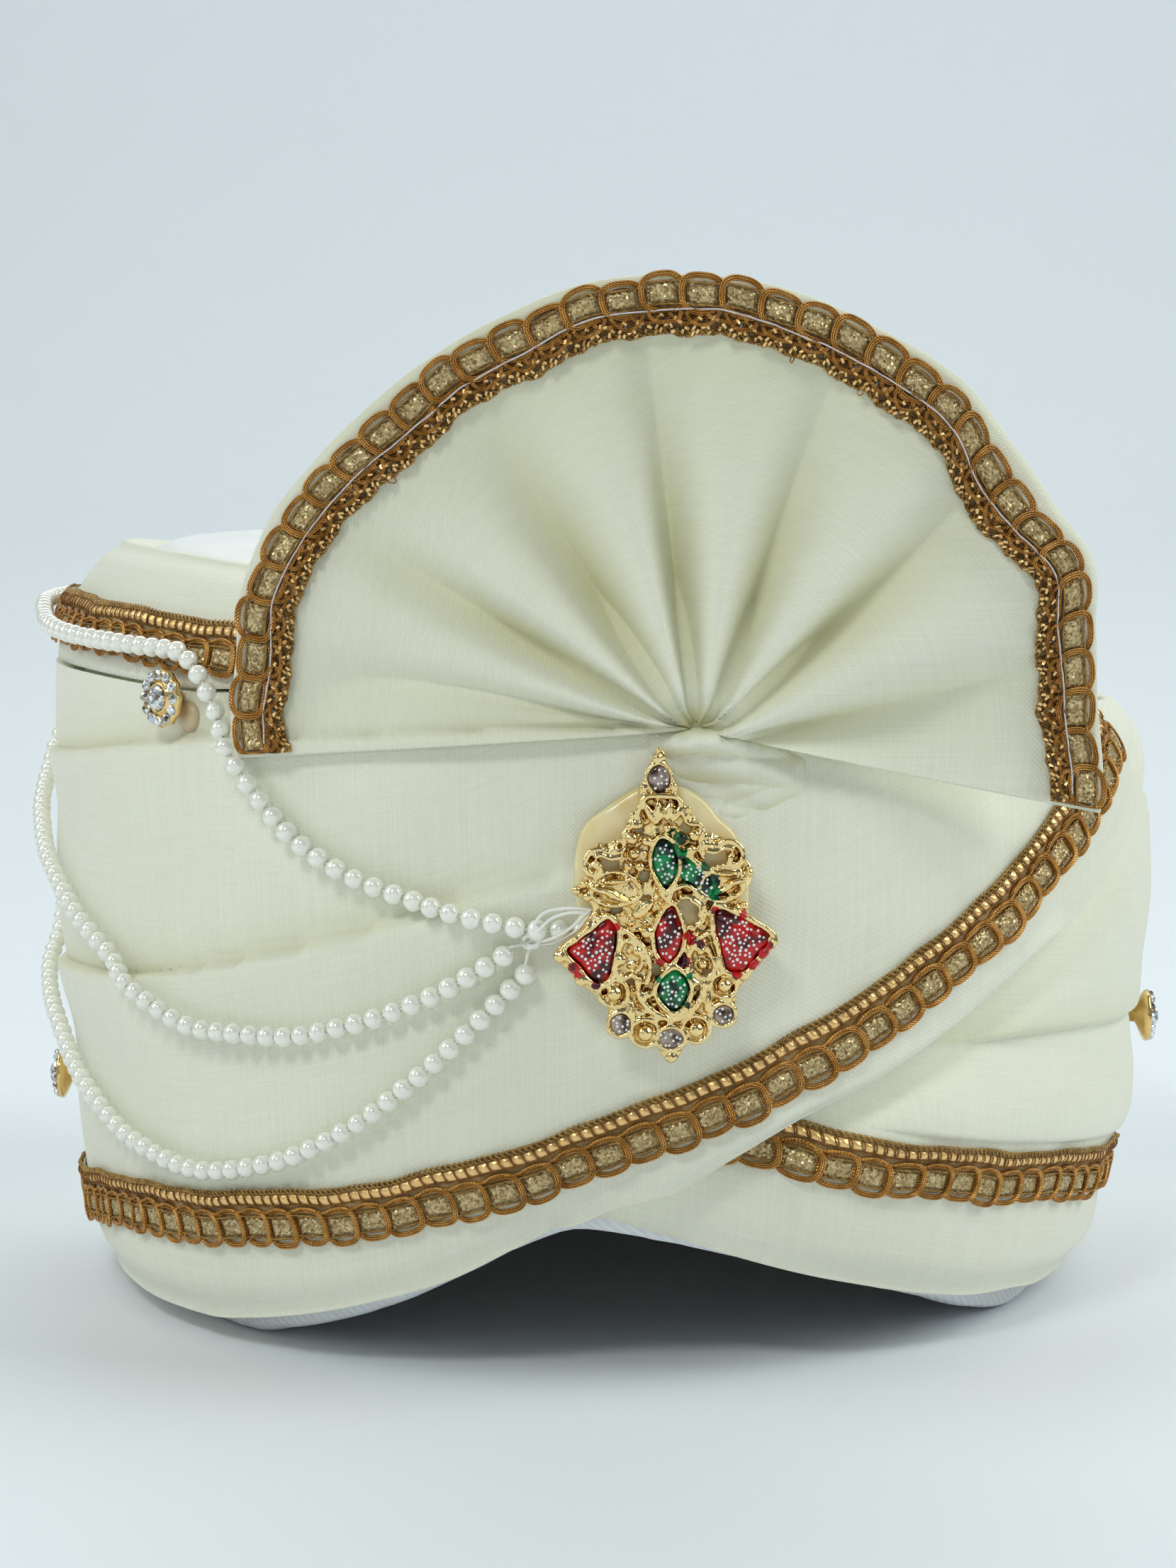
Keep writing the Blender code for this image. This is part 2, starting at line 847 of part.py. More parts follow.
def lace(name, table, heights, pitches, look):
    """A band hung from its upper edge and laid over the cloth."""
    radius = 0.5 * (HALF_WIDTH + HALF_DEPTH)
    start, end = table.rows[0][0], table.rows[-1][0]
    angles = [start + (end - start) * i / 90 for i in range(91)]
    line = [Vector((radians(a) * radius, heights(a))) for a in angles]
    run = [0.0]
    for a, b in zip(line, line[1:]):
        run.append(run[-1] + (b - a).length)
    count = round(int(run[-1] / LACE_PITCH) / pitches)
    rows, k = [], 0
    for i in range(count + 1):
        along = run[-1] * i / count
        while k < len(run) - 2 and run[k + 1] < along:
            k += 1
        share = (along - run[k]) / (run[k + 1] - run[k])
        at = line[k].lerp(line[k + 1], share)
        way = (line[min(k + 2, len(line) - 1)] - line[max(k - 1, 0)]).normalized()
        down = Vector((way.y, -way.x)) if way.x > 0 else Vector((-way.y, way.x))
        wide = table.at("width", at.x / radius * 180 / pi)
        if pitches < 1:
            wide -= scallop(LACE_PITCH * i * pitches)
        rows.append(lace_row([at + down * wide * s / 4 for s in range(5)], radius, pitches > 1))
    return rings(name, rows, look, closed=False)


def lace_row(samples, radius, bent):
    """One cross-section, straight or bent in its middle, lifted until it clears the cloth."""
    places = [(p.x / radius * 180 / pi, p.y) for p in samples]
    outs = [max(cloth_out(angle + d, height) for d in (-2, 0, 2)) for angle, height in places]
    kept = (0, 2, 4) if bent else (0, 4)
    rise = 0.0
    for a, b in zip(kept, kept[1:]):
        for i in range(a, b + 1):
            rise = max(rise, outs[i] - outs[a] - (outs[b] - outs[a]) * (i - a) / (b - a))
    front = [on_oval(*places[i], outs[i] + rise + LACE_LIFT + LACE_THICKNESS) for i in kept]
    back = [on_oval(*places[i], outs[i] + rise + LACE_LIFT) for i in reversed(kept)]
    return front + back


def front_lace(look):
    def height(angle):
        return FRONT_LACE.at("height", angle)

    return lace("front_trim", FRONT_LACE, height, 1 / 3, look)


def side_lace(look):
    def height(angle):
        return SIDE_LACE.at("height", angle)

    return lace("side_trim", SIDE_LACE, height, 1.4, look)


def upper_lace(look):
    def height(angle):
        return crest(angle) - UPPER_LACE.at("drop", angle)

    return lace("upper_trim", UPPER_LACE, height, 1.4, look)


def fan_lace(look):
    """Lace on the fan's edge, laid on the fan's own flat facets."""
    directions = fan_directions()
    length = radians(FAN_TO - FAN_FROM) * 82
    count = 3 * int(length / LACE_PITCH)
    rows = []
    for i in range(count + 1):
        place_on = FAN_STEPS * (0.004 + 0.992 * i / count)
        k = min(int(place_on), FAN_STEPS - 1)
        share = place_on - k
        outer, inner = FAN_MARGIN + scallop(LACE_PITCH * i / 3), FAN_MARGIN + FAN_LACE_WIDTH
        row = []
        for inset, stand in ((outer, 1), (inner, 1), (inner, 0), (outer, 0)):
            ends = []
            for direction in directions[k : k + 2]:
                edge = FAN_OUTLINE.at("radius", direction)
                ends.append(fan_front(direction, edge - inset))
            p = ends[0].lerp(ends[1], share)
            p.y -= LACE_LIFT + LACE_THICKNESS * stand
            row.append(p)
        rows.append(row)
    return rings("fan_trim", rows, look, closed=False)


# Pearl strings: one tube each
def pearl_string(name, table, look):
    points = []
    for i in range(2 * len(table.rows) - 1):
        angle, height, stand = (table.at(c, i / 2) for c in ("angle", "height", "stand"))
        points.append(on_oval(angle, height, cloth_out(angle, height) + stand))
    curve = bpy.data.curves.new(name, "CURVE")
    curve.dimensions = "3D"
    curve.bevel_depth = BEAD_RADIUS * MM
    curve.bevel_resolution = 2
    curve.use_fill_caps = True
    line = curve.splines.new("POLY")
    line.points.add(len(points) - 1)
    for slot, point in zip(line.points, points):
        slot.co = (*(point * MM), 1)
    curve.materials.append(material(name, look))
    made = bpy.data.objects.new(name, curve)
    bpy.context.scene.collection.objects.link(made)
    return made


# Turned pieces that stand on the cloth
def turned(name, rows, sides, base, axis, look, lobes=0, lobe_depth=0.0, sharp_angle=40):
    """A solid turned about an axis from rows of (radius, distance along the axis)."""
    level = Vector((0, 0, 1))
    across = level.cross(axis).normalized()
    upward = axis.cross(across).normalized()
    sections = []
    for radius, along in rows:
        ring = []
        for i in range(sides):
            turn = 2 * pi * i / sides
            lobed = radius * (1 - lobe_depth * (0.5 - 0.5 * cos(lobes * turn)))
            ring.append(base + axis * along + across * lobed * cos(turn) + upward * lobed * sin(turn))
        sections.append(ring)
    return rings(name, sections, look, closed=False, sharp_angle=sharp_angle)


def flower_stud(name, angle, height, look):
    base = on_oval(angle, height, cloth_out(angle, height) + GAP)
    rows = (
        (1.5, 0.0),
        (STUD_RADIUS - 0.6, 3.4),
        (STUD_RADIUS, 5.2),
        (3.4, 4.8),
        (2.4, 6.8),
    )
    return turned(name, rows, 24, base, outward(angle), look, STUD_LOBES, 0.12)


# Brooch: a pierced cast plate with raised balls, on a disc of clear amber glue
def brooch_frame():
    angle = 180 / pi * atan2(BROOCH_X, HALF_DEPTH)
    front = outward(angle)
    across = Vector((0, 0, 1)).cross(front) * -1
    if across.x < 0:
        across = -across
    middle = on_oval(angle, BROOCH_Z, BROOCH_STAND)
    return middle, across, Vector((0, 0, 1)), front


def on_brooch(x, up, stand):
    middle, across, upward, front = brooch_frame()
    return middle + across * x + upward * up + front * stand


def brooch(look):
    """The plate, with its holes cut and its balls joined on."""
    rows = [
        [on_brooch(x, up, stand) for x, up in BROOCH_OUTLINE.rows]
        for stand in (0, BROOCH_THICKNESS)
    ]
    plate = rings("brooch", rows, look, closed=False, sharp_angle=30)
    cutters = []
    for i, (x, up, radius) in enumerate(BROOCH_HOLES.rows):
        rows = [
            [
                on_brooch(x + radius * cos(pi * k / 4), up + radius * sin(pi * k / 4), stand)
                for k in range(8)
            ]
            for stand in (-1, BROOCH_THICKNESS + 1)
        ]
        cutters.append(rings(f"hole_{i}", rows, look, closed=False))
    balls = []
    for i, (x, up, radius) in enumerate(BROOCH_BALLS.rows):
        rows = []
        for size, stand in ((1.0, -0.45), (0.95, 0.35), (0.4, 0.92)):
            rows.append(
                [
                    on_brooch(
                        x + radius * size * cos(pi * k / 4),
                        up + radius * size * sin(pi * k / 4),
                        BROOCH_THICKNESS + radius * stand,
                    )
                    for k in range(8)
                ]
            )
        balls.append(rings(f"ball_{i}", rows, look, closed=False))
    for tool, operation in [(b, "UNION") for b in balls] + [(c, "DIFFERENCE") for c in cutters]:
        tool.hide_render = True
        tool.display_type = "WIRE"
        cut = plate.modifiers.new(tool.name, "BOOLEAN")
        cut.operation = operation
        cut.object = tool
    return plate


def brooch_patch(look):
    rows = []
    for stand, size in ((-GAP - PATCH_THICKNESS, 0.96), (-GAP, 1.0)):
        rows.append(
            [
                on_brooch(
                    -1.0 + 14.2 * size * cos(2 * pi * i / 18),
                    -2.0 + 17.5 * size * sin(2 * pi * i / 18),
                    stand,
                )
                for i in range(18)
            ]
        )
    return rings("brooch_patch", rows, look, closed=False)


def enamel_stone(name, x, up, half_wide, half_high, lean, sides, look):
    """A pointed oval stone with a bevelled edge and a flat table."""
    rows = []
    for size, stand in ((0.9, 0.25), (1.0, 0.8), (0.6, 1.9)):
        row = []
        for i in range(sides):
            turn = 2 * pi * i / sides
            wide = half_wide * size * cos(turn) * (1 - 0.28 * abs(sin(turn)) ** 3)
            high = half_high * size * sin(turn)
            tilt = radians(lean)
            row.append(
                on_brooch(
                    x + wide * cos(tilt) + high * sin(tilt),
                    up - wide * sin(tilt) + high * cos(tilt),
                    BROOCH_THICKNESS + stand,
                )
            )
        rows.append(row)
    return rings(name, rows, look, closed=False, sharp_angle=20)


def string_tie(look):
    """The thread knot that joins the strings beside the brooch."""
    angle, height = -4.2, 85.0
    base = on_oval(angle, height, cloth_out(angle, height) + GAP)
    rows = ((1.0, 0), (1.5, 0.9), (1.5, 1.9), (0.8, 2.7))
    return turned("string_tie", rows, 8, base, outward(angle), look)


def main():
    clear_scene()
    lined_cap(WHITE)
    base_wrap(IVORY)
    front_wrap(IVORY)
    top_roll(IVORY)
    turra_fan(IVORY)
    fan_knot(IVORY)
    fan_lace(GOLD_LACE)
    front_lace(GOLD_LACE)
    side_lace(GOLD_LACE)
    upper_lace(GOLD_LACE)
    for name, table in PEARLS.items():
        pearl_string(name, table, PEARL)
    for name, (angle, height) in STUDS.items():
        flower_stud(name, angle, height, GOLD)
    brooch(GOLD)
    brooch_patch(GLUE)
    for name, (x, up, wide, high, lean, look) in ENAMEL.items():
        enamel_stone(name, x, up, wide, high, lean, 12, look)
    for name, (x, up, radius) in CRYSTALS.items():
        enamel_stone(name, x, up, radius, radius, 0, 8, CRYSTAL)
    string_tie(THREAD)


main()
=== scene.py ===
import bmesh
import bpy
import numpy as np
from mathutils import Matrix, Vector


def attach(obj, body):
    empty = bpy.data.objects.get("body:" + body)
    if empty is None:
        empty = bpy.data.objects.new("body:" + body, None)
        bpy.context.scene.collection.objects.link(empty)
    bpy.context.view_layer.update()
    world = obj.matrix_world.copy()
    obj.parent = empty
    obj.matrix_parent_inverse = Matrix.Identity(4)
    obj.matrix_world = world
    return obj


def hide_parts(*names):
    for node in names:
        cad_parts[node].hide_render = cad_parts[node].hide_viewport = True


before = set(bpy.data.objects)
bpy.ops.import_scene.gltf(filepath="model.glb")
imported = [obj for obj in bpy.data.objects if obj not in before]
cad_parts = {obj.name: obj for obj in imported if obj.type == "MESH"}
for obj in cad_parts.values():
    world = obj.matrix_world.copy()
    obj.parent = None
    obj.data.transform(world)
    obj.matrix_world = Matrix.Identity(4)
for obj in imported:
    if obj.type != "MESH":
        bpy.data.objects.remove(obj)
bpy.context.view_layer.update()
MM = 0.001

# The studio: a pale floor that sweeps up into a pale wall, soft lights high at both sides, a small
# key light that sets a point on each pearl, and the camera where the photograph was taken
PHOTO_WIDTH = 1659
PHOTO_FOCAL = 4440
SENSOR_WIDTH = 36


def new_object(name, data):
    """An object linked into the scene."""
    made = bpy.data.objects.new(name, data)
    bpy.context.scene.collection.objects.link(made)
    return made


camera = new_object("camera", bpy.data.cameras.new("camera"))
camera.data.sensor_fit = "HORIZONTAL"
camera.data.sensor_width = SENSOR_WIDTH
camera.data.lens = PHOTO_FOCAL / PHOTO_WIDTH * SENSOR_WIDTH
camera.data.clip_start = 0.01
camera.location = (-0.0012, -0.6934, 0.1599)
camera.rotation_euler = (np.radians(85.5), 0, 0)
bpy.context.scene.camera = camera
bpy.context.scene.view_settings.view_transform = "Standard"

FLOOR_HALF = 3.0
SWEEP_FROM = 0.9
SWEEP_RADIUS = 0.5
section = [(y, 0.0) for y in (-FLOOR_HALF, -1.5, 0.0, SWEEP_FROM)]
for t in np.radians(range(10, 91, 10)):
    section.append(
        (SWEEP_FROM + SWEEP_RADIUS * np.sin(t), SWEEP_RADIUS - SWEEP_RADIUS * np.cos(t))
    )
section += [(1.4, 1.2), (1.4, FLOOR_HALF)]
floor_mesh = bpy.data.meshes.new("floor")
floor_mesh.from_pydata(
    [(x, y, z) for y, z in section for x in (-FLOOR_HALF, FLOOR_HALF)],
    [],
    [(2 * i, 2 * i + 1, 2 * i + 3, 2 * i + 2) for i in range(len(section) - 1)],
)
floor_mesh.shade_smooth()
floor = new_object("floor", floor_mesh)


def add_node(tree, kind, inputs=None, **settings):
    """A node with its settings made and each of its inputs linked or set."""
    node = tree.nodes.new(kind)
    for name, value in settings.items():
        setattr(node, name, value)
    for key, value in (inputs or {}).items():
        if isinstance(value, bpy.types.NodeSocket):
            tree.links.new(value, node.inputs[key])
        else:
            node.inputs[key].default_value = value
    return node


def new_material(name, roughness, sheen=0.0, metallic=0.0, coat=0.0, more=None):
    made = bpy.data.materials.new(name)
    made.use_nodes = True
    shader = made.node_tree.nodes["Principled BSDF"]
    values = {"Roughness": roughness, "Sheen Weight": sheen, "Metallic": metallic}
    values.update({"Sheen Roughness": 0.5, "Coat Weight": coat})
    values.update(more or {})
    for socket, value in values.items():
        shader.inputs[socket].default_value = value
    return made


def opaque(colour):
    """A colour given as red, green and blue, with its alpha; a socket stays as it is."""
    return (*colour, 1) if isinstance(colour, tuple) else colour


class Nodes:
    """Adds shader nodes to a material and joins them in one call each."""

    def __init__(self, made):
        self.tree = made.node_tree
        self.shader = made.node_tree.nodes["Principled BSDF"]
        self.place = None
        self.cloth = None

    def add(self, kind, inputs=None, output=0, **settings):
        return add_node(self.tree, kind, inputs, **settings).outputs[output]

    def uv(self):
        if self.cloth is None:
            self.cloth = self.add("ShaderNodeUVMap", uv_map="cloth")
        return self.cloth

    def own_space(self):
        if self.place is None:
            self.place = self.add("ShaderNodeTexCoord", output=3)
        return self.place

    def split(self, value):
        return add_node(self.tree, "ShaderNodeSeparateXYZ", {0: value}).outputs

    def noise(self, scale, detail=2.0):
        """Soft noise over the object's own space."""
        inputs = {"Vector": self.own_space(), "Scale": scale, "Detail": detail}
        return self.add("ShaderNodeTexNoise", inputs)

    def math(self, operation, first, second=0.0):
        return self.add("ShaderNodeMath", {0: first, 1: second, 2: 0.0}, operation=operation)

    def mix(self, factor, first, second):
        inputs = {0: factor, 6: opaque(first), 7: opaque(second)}
        return self.add("ShaderNodeMix", inputs, output=2, data_type="RGBA")

    def ramp(self, value, low, high):
        """0 to 1 as a value goes from low to high."""
        return self.add("ShaderNodeMapRange", {0: value, 1: low, 2: high})

    def colour(self, socket):
        self.tree.links.new(socket, self.shader.inputs["Base Color"])

    def normal(self, socket):
        self.tree.links.new(socket, self.shader.inputs["Normal"])

    def bump(self, height, distance, strength):
        inputs = {"Height": height, "Distance": distance, "Strength": strength}
        self.normal(self.add("ShaderNodeBump", inputs))


# The paper is painted darker as it rises up the wall: painted shade for the light falling off.
floor_paper = new_material("floor_paper", 0.55)
nodes = Nodes(floor_paper)
height = nodes.split(nodes.own_space())[2]
painted_wall_shade = nodes.ramp(height, 0.0, 0.16)
nodes.colour(nodes.mix(painted_wall_shade, (0.84, 0.875, 0.915), (0.71, 0.745, 0.785)))
floor_mesh.materials.append(floor_paper)

DAYLIGHT = (0.945, 1.0, 0.98)
LIGHTS = (
    # name, place, aim, size, power
    ("key", (-0.35, -0.95, 0.95), (0, 0, 0.1), (0.3, 0.2), 3.8),
    ("left_fill", (-1.3, -0.7, 0.5), (0, 0, 0.08), (0.9, 0.9), 1.1),
    ("low_front", (0, -1.3, 0.25), (0, 0, 0.05), (1.4, 0.3), 1.4),
    ("left_high", (-1.2, -0.2, 1.0), (0, 0, 0.1), (0.9, 0.9), 6.0),
    ("right_high", (1.2, -0.2, 1.0), (0, 0, 0.1), (0.9, 0.9), 12.4),
    ("top_back", (0, 0.9, 1.3), (0, 0.75, 0.0), (2.0, 0.8), 9.2),
)
for name, place, aim, size, power in LIGHTS:
    lamp = bpy.data.lights.new(name, "AREA")
    lamp.shape = "RECTANGLE"
    lamp.size, lamp.size_y = size
    lamp.energy = power
    lamp.color = DAYLIGHT
    light = new_object(name, lamp)
    light.location = place
    light.rotation_euler = (Vector(aim) - Vector(place)).to_track_quat("-Z", "Y").to_euler()
world = bpy.data.worlds.new("studio_air")
world.use_nodes = True
world.node_tree.nodes["Background"].inputs["Color"].default_value = (0.86, 0.955, 1.0, 1)
world.node_tree.nodes["Background"].inputs["Strength"].default_value = 0.14
bpy.context.scene.world = world

# The padded cap: a foam and card wall lined with white twill, turned under at the rim, and closed
# by a puffed white satin crown. The rim stands on the floor and arches over the forehead.
HALF_WIDTH = 119.0
HALF_DEPTH = 127.0
OVAL_CENTRE_X = 1.2
OVAL_CENTRE_Y = 4.4
CREST_MIDDLE = 144.6
CREST_SLOPE = -0.139
CREST_REACH = HALF_WIDTH - 15
CAP_OUTSIDE = -20.4
CAP_INSIDE = -33.0
CAP_RADIUS = 110
CROWN_EDGE_DROP = 2.0
CROWN_BULGE = 8.0
CROWN_THICKNESS = 3.0
CROWN_ROWS = 22
TWILL_ROWS = 27
RIM_TURN = 2.0
SATIN_LAP = 2.5
SEAT_DROP = 17


class Table:
    """Rows of sizes; at() reads one column smoothly between the rows."""

    def __init__(self, columns, *rows):
        self.columns = columns
        self.rows = np.array(rows, float)

    def at(self, column, where):
        x = self.rows[:, 0]
        y = self.rows[:, self.columns.index(column)]
        gap = np.diff(x)
        rate = np.diff(y) / gap
        slope = np.zeros(len(x))
        both = rate[:-1] * rate[1:]
        total = rate[:-1] + rate[1:]
        slope[1:-1] = np.where(both > 0, 2 * both / np.where(both > 0, total, 1), 0)
        i = np.clip(np.searchsorted(x, where, side="right") - 1, 0, len(x) - 2)
        s = np.clip((where - x[i]) / gap[i], 0, 1)
        return (
            y[i] * (1 + 2 * s) * (1 - s) ** 2
            + slope[i] * gap[i] * s * (1 - s) ** 2
            + y[i + 1] * s**2 * (3 - 2 * s)
            - slope[i + 1] * gap[i] * s**2 * (1 - s)
        )


RIM = Table(
    ("angle", "cap", "cloth"),
    (-180, 0, 5), (-60, 0, 4.5), (-46, 0, 5), (-39, 2.5, 7), (-31, 6.5, 10.3), (-24, 11, 14),
    (-15, 18.5, 20), (-8, 24.5, 27), (-2.5, 27.5, 31.8), (8, 24.5, 27.2), (15, 21.5, 23.1),
    (27, 15.5, 16.8), (35, 11.5, 13), (43, 7.5, 10), (52, 2.5, 8), (60, 0, 6), (80, 0, 5),
    (180, 0, 5),
)


def on_oval(angle, height, out):
    """Points at an angle and height, offset outwards from the reference oval."""
    turn = np.radians(angle)
    x = (HALF_WIDTH + out) * np.sin(turn) + OVAL_CENTRE_X
    y = OVAL_CENTRE_Y - (HALF_DEPTH + out) * np.cos(turn)
    return np.stack(np.broadcast_arrays(x, y, height), axis=-1)


def crest(angle):
    """Height of the slanted top."""
    return CREST_MIDDLE + CREST_SLOPE * CREST_REACH * np.sin(np.radians(angle))


def ripple(rows, along, up):
    """A sum of small waves in the cloth, from rows of (length, height, depth, shift)."""
    total = 0
    for length, height, depth, shift in rows:
        total = total + depth * np.sin(2 * np.pi * (along / length + up / height) + shift)
    return total


def lengths(grid, axis):
    """Running length along a grid of points, with one more row for where it closes."""
    steps = np.linalg.norm(np.diff(grid, axis=axis, append=np.take(grid, [0], axis)), axis=-1)
    pad = [(1, 0) if a == axis else (0, 0) for a in range(2)]
    return np.pad(np.cumsum(steps, axis=axis), pad)


def grid_uv(grid):
    """UV lengths of a grid, in millimetres: along the first way by mean row, up by each section."""
    along = lengths(grid, 0).mean(axis=1)
    up = lengths(grid, 1)
    up = np.concatenate([up, up[:1]])
    return np.stack([np.broadcast_to(along[:, None], up.shape), up], -1)


def skin(name, grid, closed, uv=None, band=None, fold=None):
    """A mesh over a grid of points, closed either way, with a UV map in metres of cloth. fold, from
    0 to 1, is the painted shade each point takes; band is the material of each strip of faces."""
    uv = grid_uv(grid) if uv is None else uv
    n, m = grid.shape[:2]
    rows, columns = n if closed[0] else n - 1, m if closed[1] else m - 1
    i, k = np.meshgrid(np.arange(rows), np.arange(columns), indexing="ij")
    j, l = (i + 1) % n, (k + 1) % m
    faces = np.stack([i * m + k, i * m + l, j * m + l, j * m + k], -1).reshape(-1, 4)
    corners = np.stack([uv[i, k], uv[i, k + 1], uv[i + 1, k + 1], uv[i + 1, k]], 2).reshape(-1, 2)
    faces = [tuple(f) for f in faces.tolist()]
    if not closed[0]:
        faces += [tuple(range(m - 1, -1, -1)), tuple(range((n - 1) * m, n * m))]
        corners = np.concatenate([corners, uv[0, :m][::-1], uv[n - 1, :m]])
    mesh = bpy.data.meshes.new(name)
    mesh.from_pydata((grid.reshape(-1, 3) * MM).tolist(), [], faces)
    layer = mesh.uv_layers.new(name="cloth")
    layer.data.foreach_set("uv", (corners * MM).astype(np.float32).reshape(-1))
    if band is not None:
        marks = np.broadcast_to(band, (rows, columns)).reshape(-1)
        mesh.polygons.foreach_set("material_index", marks.astype(np.int32))
    if fold is not None:
        deep = mesh.attributes.new("fold", "FLOAT", "POINT")
        deep.data.foreach_set("value", fold.astype(np.float32).reshape(-1))
    mesh.shade_smooth()
    mesh.validate()
    return new_object(name, mesh)


def shut(piece, flat=False):
    """Closes a mesh's open ends and turns its faces outwards."""
    build = bmesh.new()
    build.from_mesh(piece.data)
    bmesh.ops.holes_fill(build, edges=[e for e in build.edges if e.is_boundary], sides=0)
    bmesh.ops.recalc_face_normals(build, faces=build.faces)
    build.to_mesh(piece.data)
    build.free()
    if flat:
        piece.data.shade_flat()


def clouded(
    name, roughness, scale, dark, light, detail=2.0, band=None, bump=None, grain=None, **kinds
):
    """A material that drifts between two colours over soft noise, or between two values of it
    where a band is given. Bump is the distance and strength of its relief, which follows a noise
    of its own where a grain is given."""
    made = new_material(name, roughness, **kinds)
    nodes = Nodes(made)
    cloud = nodes.noise(scale, detail)
    nodes.colour(nodes.mix(nodes.ramp(cloud, *band) if band else cloud, dark, light))
    if bump:
        nodes.bump(nodes.noise(grain) if grain else cloud, *bump)
    return made


def weave(nodes, pitch):
    """Plain weave on the UV map: its thread height and the gaps between threads."""
    noise = {"Vector": nodes.uv(), "Scale": 260.0, "Detail": 1.0}
    wander = nodes.math("SUBTRACT", nodes.add("ShaderNodeTexNoise", noise), 0.5)
    wander = nodes.math("MULTIPLY", wander, 1.6)
    turns = []
    for part in nodes.split(nodes.uv())[:2]:
        turn = nodes.math("MULTIPLY", part, np.pi / (pitch * MM))
        turns.append(nodes.math("ADD", turn, wander))
    over = nodes.math("MULTIPLY", *[nodes.math("SINE", turn) for turn in turns])
    gaps = [nodes.math("ABSOLUTE", nodes.math("COSINE", turn)) for turn in turns]
    return over, nodes.math("MULTIPLY", *gaps)


def slubs(nodes, strength):
    """Threads that are thicker here and there, both ways of the cloth."""
    streaks = []
    for scale in ((40.0, 1800.0, 1.0), (1800.0, 40.0, 1.0)):
        inputs = {0: nodes.uv(), 1: scale}
        at = nodes.add("ShaderNodeVectorMath", inputs, operation="MULTIPLY")
        streaks.append(nodes.add("ShaderNodeTexNoise", {"Vector": at, "Scale": 1.0}))
    return nodes.math("MULTIPLY", nodes.math("ADD", *streaks), strength)


lining_twill = new_material("lining_twill", 0.8, sheen=0.15)
nodes = Nodes(lining_twill)
slant = nodes.add("ShaderNodeMapping", {"Vector": nodes.uv(), "Rotation": (0, 0, 0.7)})
inputs = {"Vector": slant, "Scale": 230.0, "Distortion": 0.6}
ribs = nodes.add("ShaderNodeTexWave", inputs, output=1)
nodes.colour(nodes.mix(ribs, (0.74, 0.76, 0.79), (0.84, 0.86, 0.88)))
nodes.bump(ribs, 0.00012, 0.6)

lining_cotton = new_material("lining_cotton", 0.85)
nodes = Nodes(lining_cotton)
thick = nodes.ramp(slubs(nodes, 0.4), 0.3, 0.6)
nodes.colour(nodes.mix(thick, (0.74, 0.68, 0.45), (0.84, 0.80, 0.58)))
nodes.bump(weave(nodes, 0.6)[0], 0.0001, 0.5)

crown_satin = clouded(
    "crown_satin", 0.38, 90.0, (0.84, 0.86, 0.84), (0.92, 0.93, 0.91),
    bump=(0.00006, 0.4), grain=1400.0, sheen=0.3, coat=0.15,
)

angles = np.linspace(-180, 180, 240, endpoint=False)
CROWN_RIPPLES = (
    (46, 31, 0.5, 0.4), (23, -38, 0.35, 1.9), (17, 52, 0.25, 3.0), (71, 19, 0.3, 5.1),
)
RIM_PUCKERS = ((9.5, 60, 0.22, 0.0), (6.2, 41, 0.16, 1.2), (31, 300, 0.35, 2.2))


def crown_height(angle, share):
    """Top of the crown at a share of the way from its middle to its edge."""
    edge = crest(angle) - CROWN_EDGE_DROP
    middle = CREST_MIDDLE - CROWN_EDGE_DROP
    return middle + (edge - middle) * share + CROWN_BULGE * (1 - share**8)


def crown_point(angle, share, drop=0.0, shrink=0.0):
    turn = np.radians(angle)
    half_w = (HALF_WIDTH + CAP_OUTSIDE - shrink) * share
    half_d = (HALF_DEPTH + CAP_OUTSIDE - shrink) * share
    x, y = half_w * np.sin(turn), -half_d * np.cos(turn)
    height = crown_height(angle, share) - drop
    height = height + ripple(CROWN_RIPPLES, x, y) * (1 - share**6) * (drop == 0)
    return np.stack([x + OVAL_CENTRE_X, y + OVAL_CENTRE_Y, height], -1)


rim = RIM.at("cap", angles)
top = crest(angles)
run = np.radians(angles) * CAP_RADIUS
pucker = ripple(RIM_PUCKERS, run, 0 * run)
section = [crown_point(angles, s) for s in np.linspace(0.03, 0.985, CROWN_ROWS)]
for share in np.linspace(0, 1, 12):
    height = (top - CROWN_EDGE_DROP - SATIN_LAP) * (1 - share) + (rim + RIM_TURN) * share
    section.append(on_oval(angles, height, CAP_OUTSIDE - 0.25 + 0 * angles))
for turn in np.linspace(0, np.pi, 9)[1:-1]:
    middle = 0.5 * (CAP_OUTSIDE + CAP_INSIDE)
    half = 0.5 * (CAP_OUTSIDE - CAP_INSIDE) - 0.3
    height = rim + RIM_TURN * (1 - np.sin(turn) ** 0.6) + 0.15 * np.abs(pucker) * (rim > 1)
    out = middle + half * np.cos(turn) + pucker * np.sin(turn)
    section.append(on_oval(angles, height, out))
for share in np.linspace(0, 1, 14):
    height = (rim + RIM_TURN) * (1 - share) + (top - SEAT_DROP) * share
    out = CAP_INSIDE + 2 * share + 0.5 * pucker * (1 - share)
    section.append(on_oval(angles, height, out))
for s in np.linspace(0.9, 0.03, 14):
    section.append(crown_point(angles, s, CROWN_THICKNESS + 4 * s**3, 10))
grid = np.stack(section, axis=1)
band = np.full(len(section) - 1, 2)
band[:CROWN_ROWS] = 1
band[CROWN_ROWS : CROWN_ROWS + TWILL_ROWS] = 0
cap = skin("lined_cap_cloth", grid, (True, False), band=band)
shut(cap)
for look in (lining_twill, crown_satin, lining_cotton):
    cap.data.materials.append(look)
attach(cap, "root")
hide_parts("lined_cap")

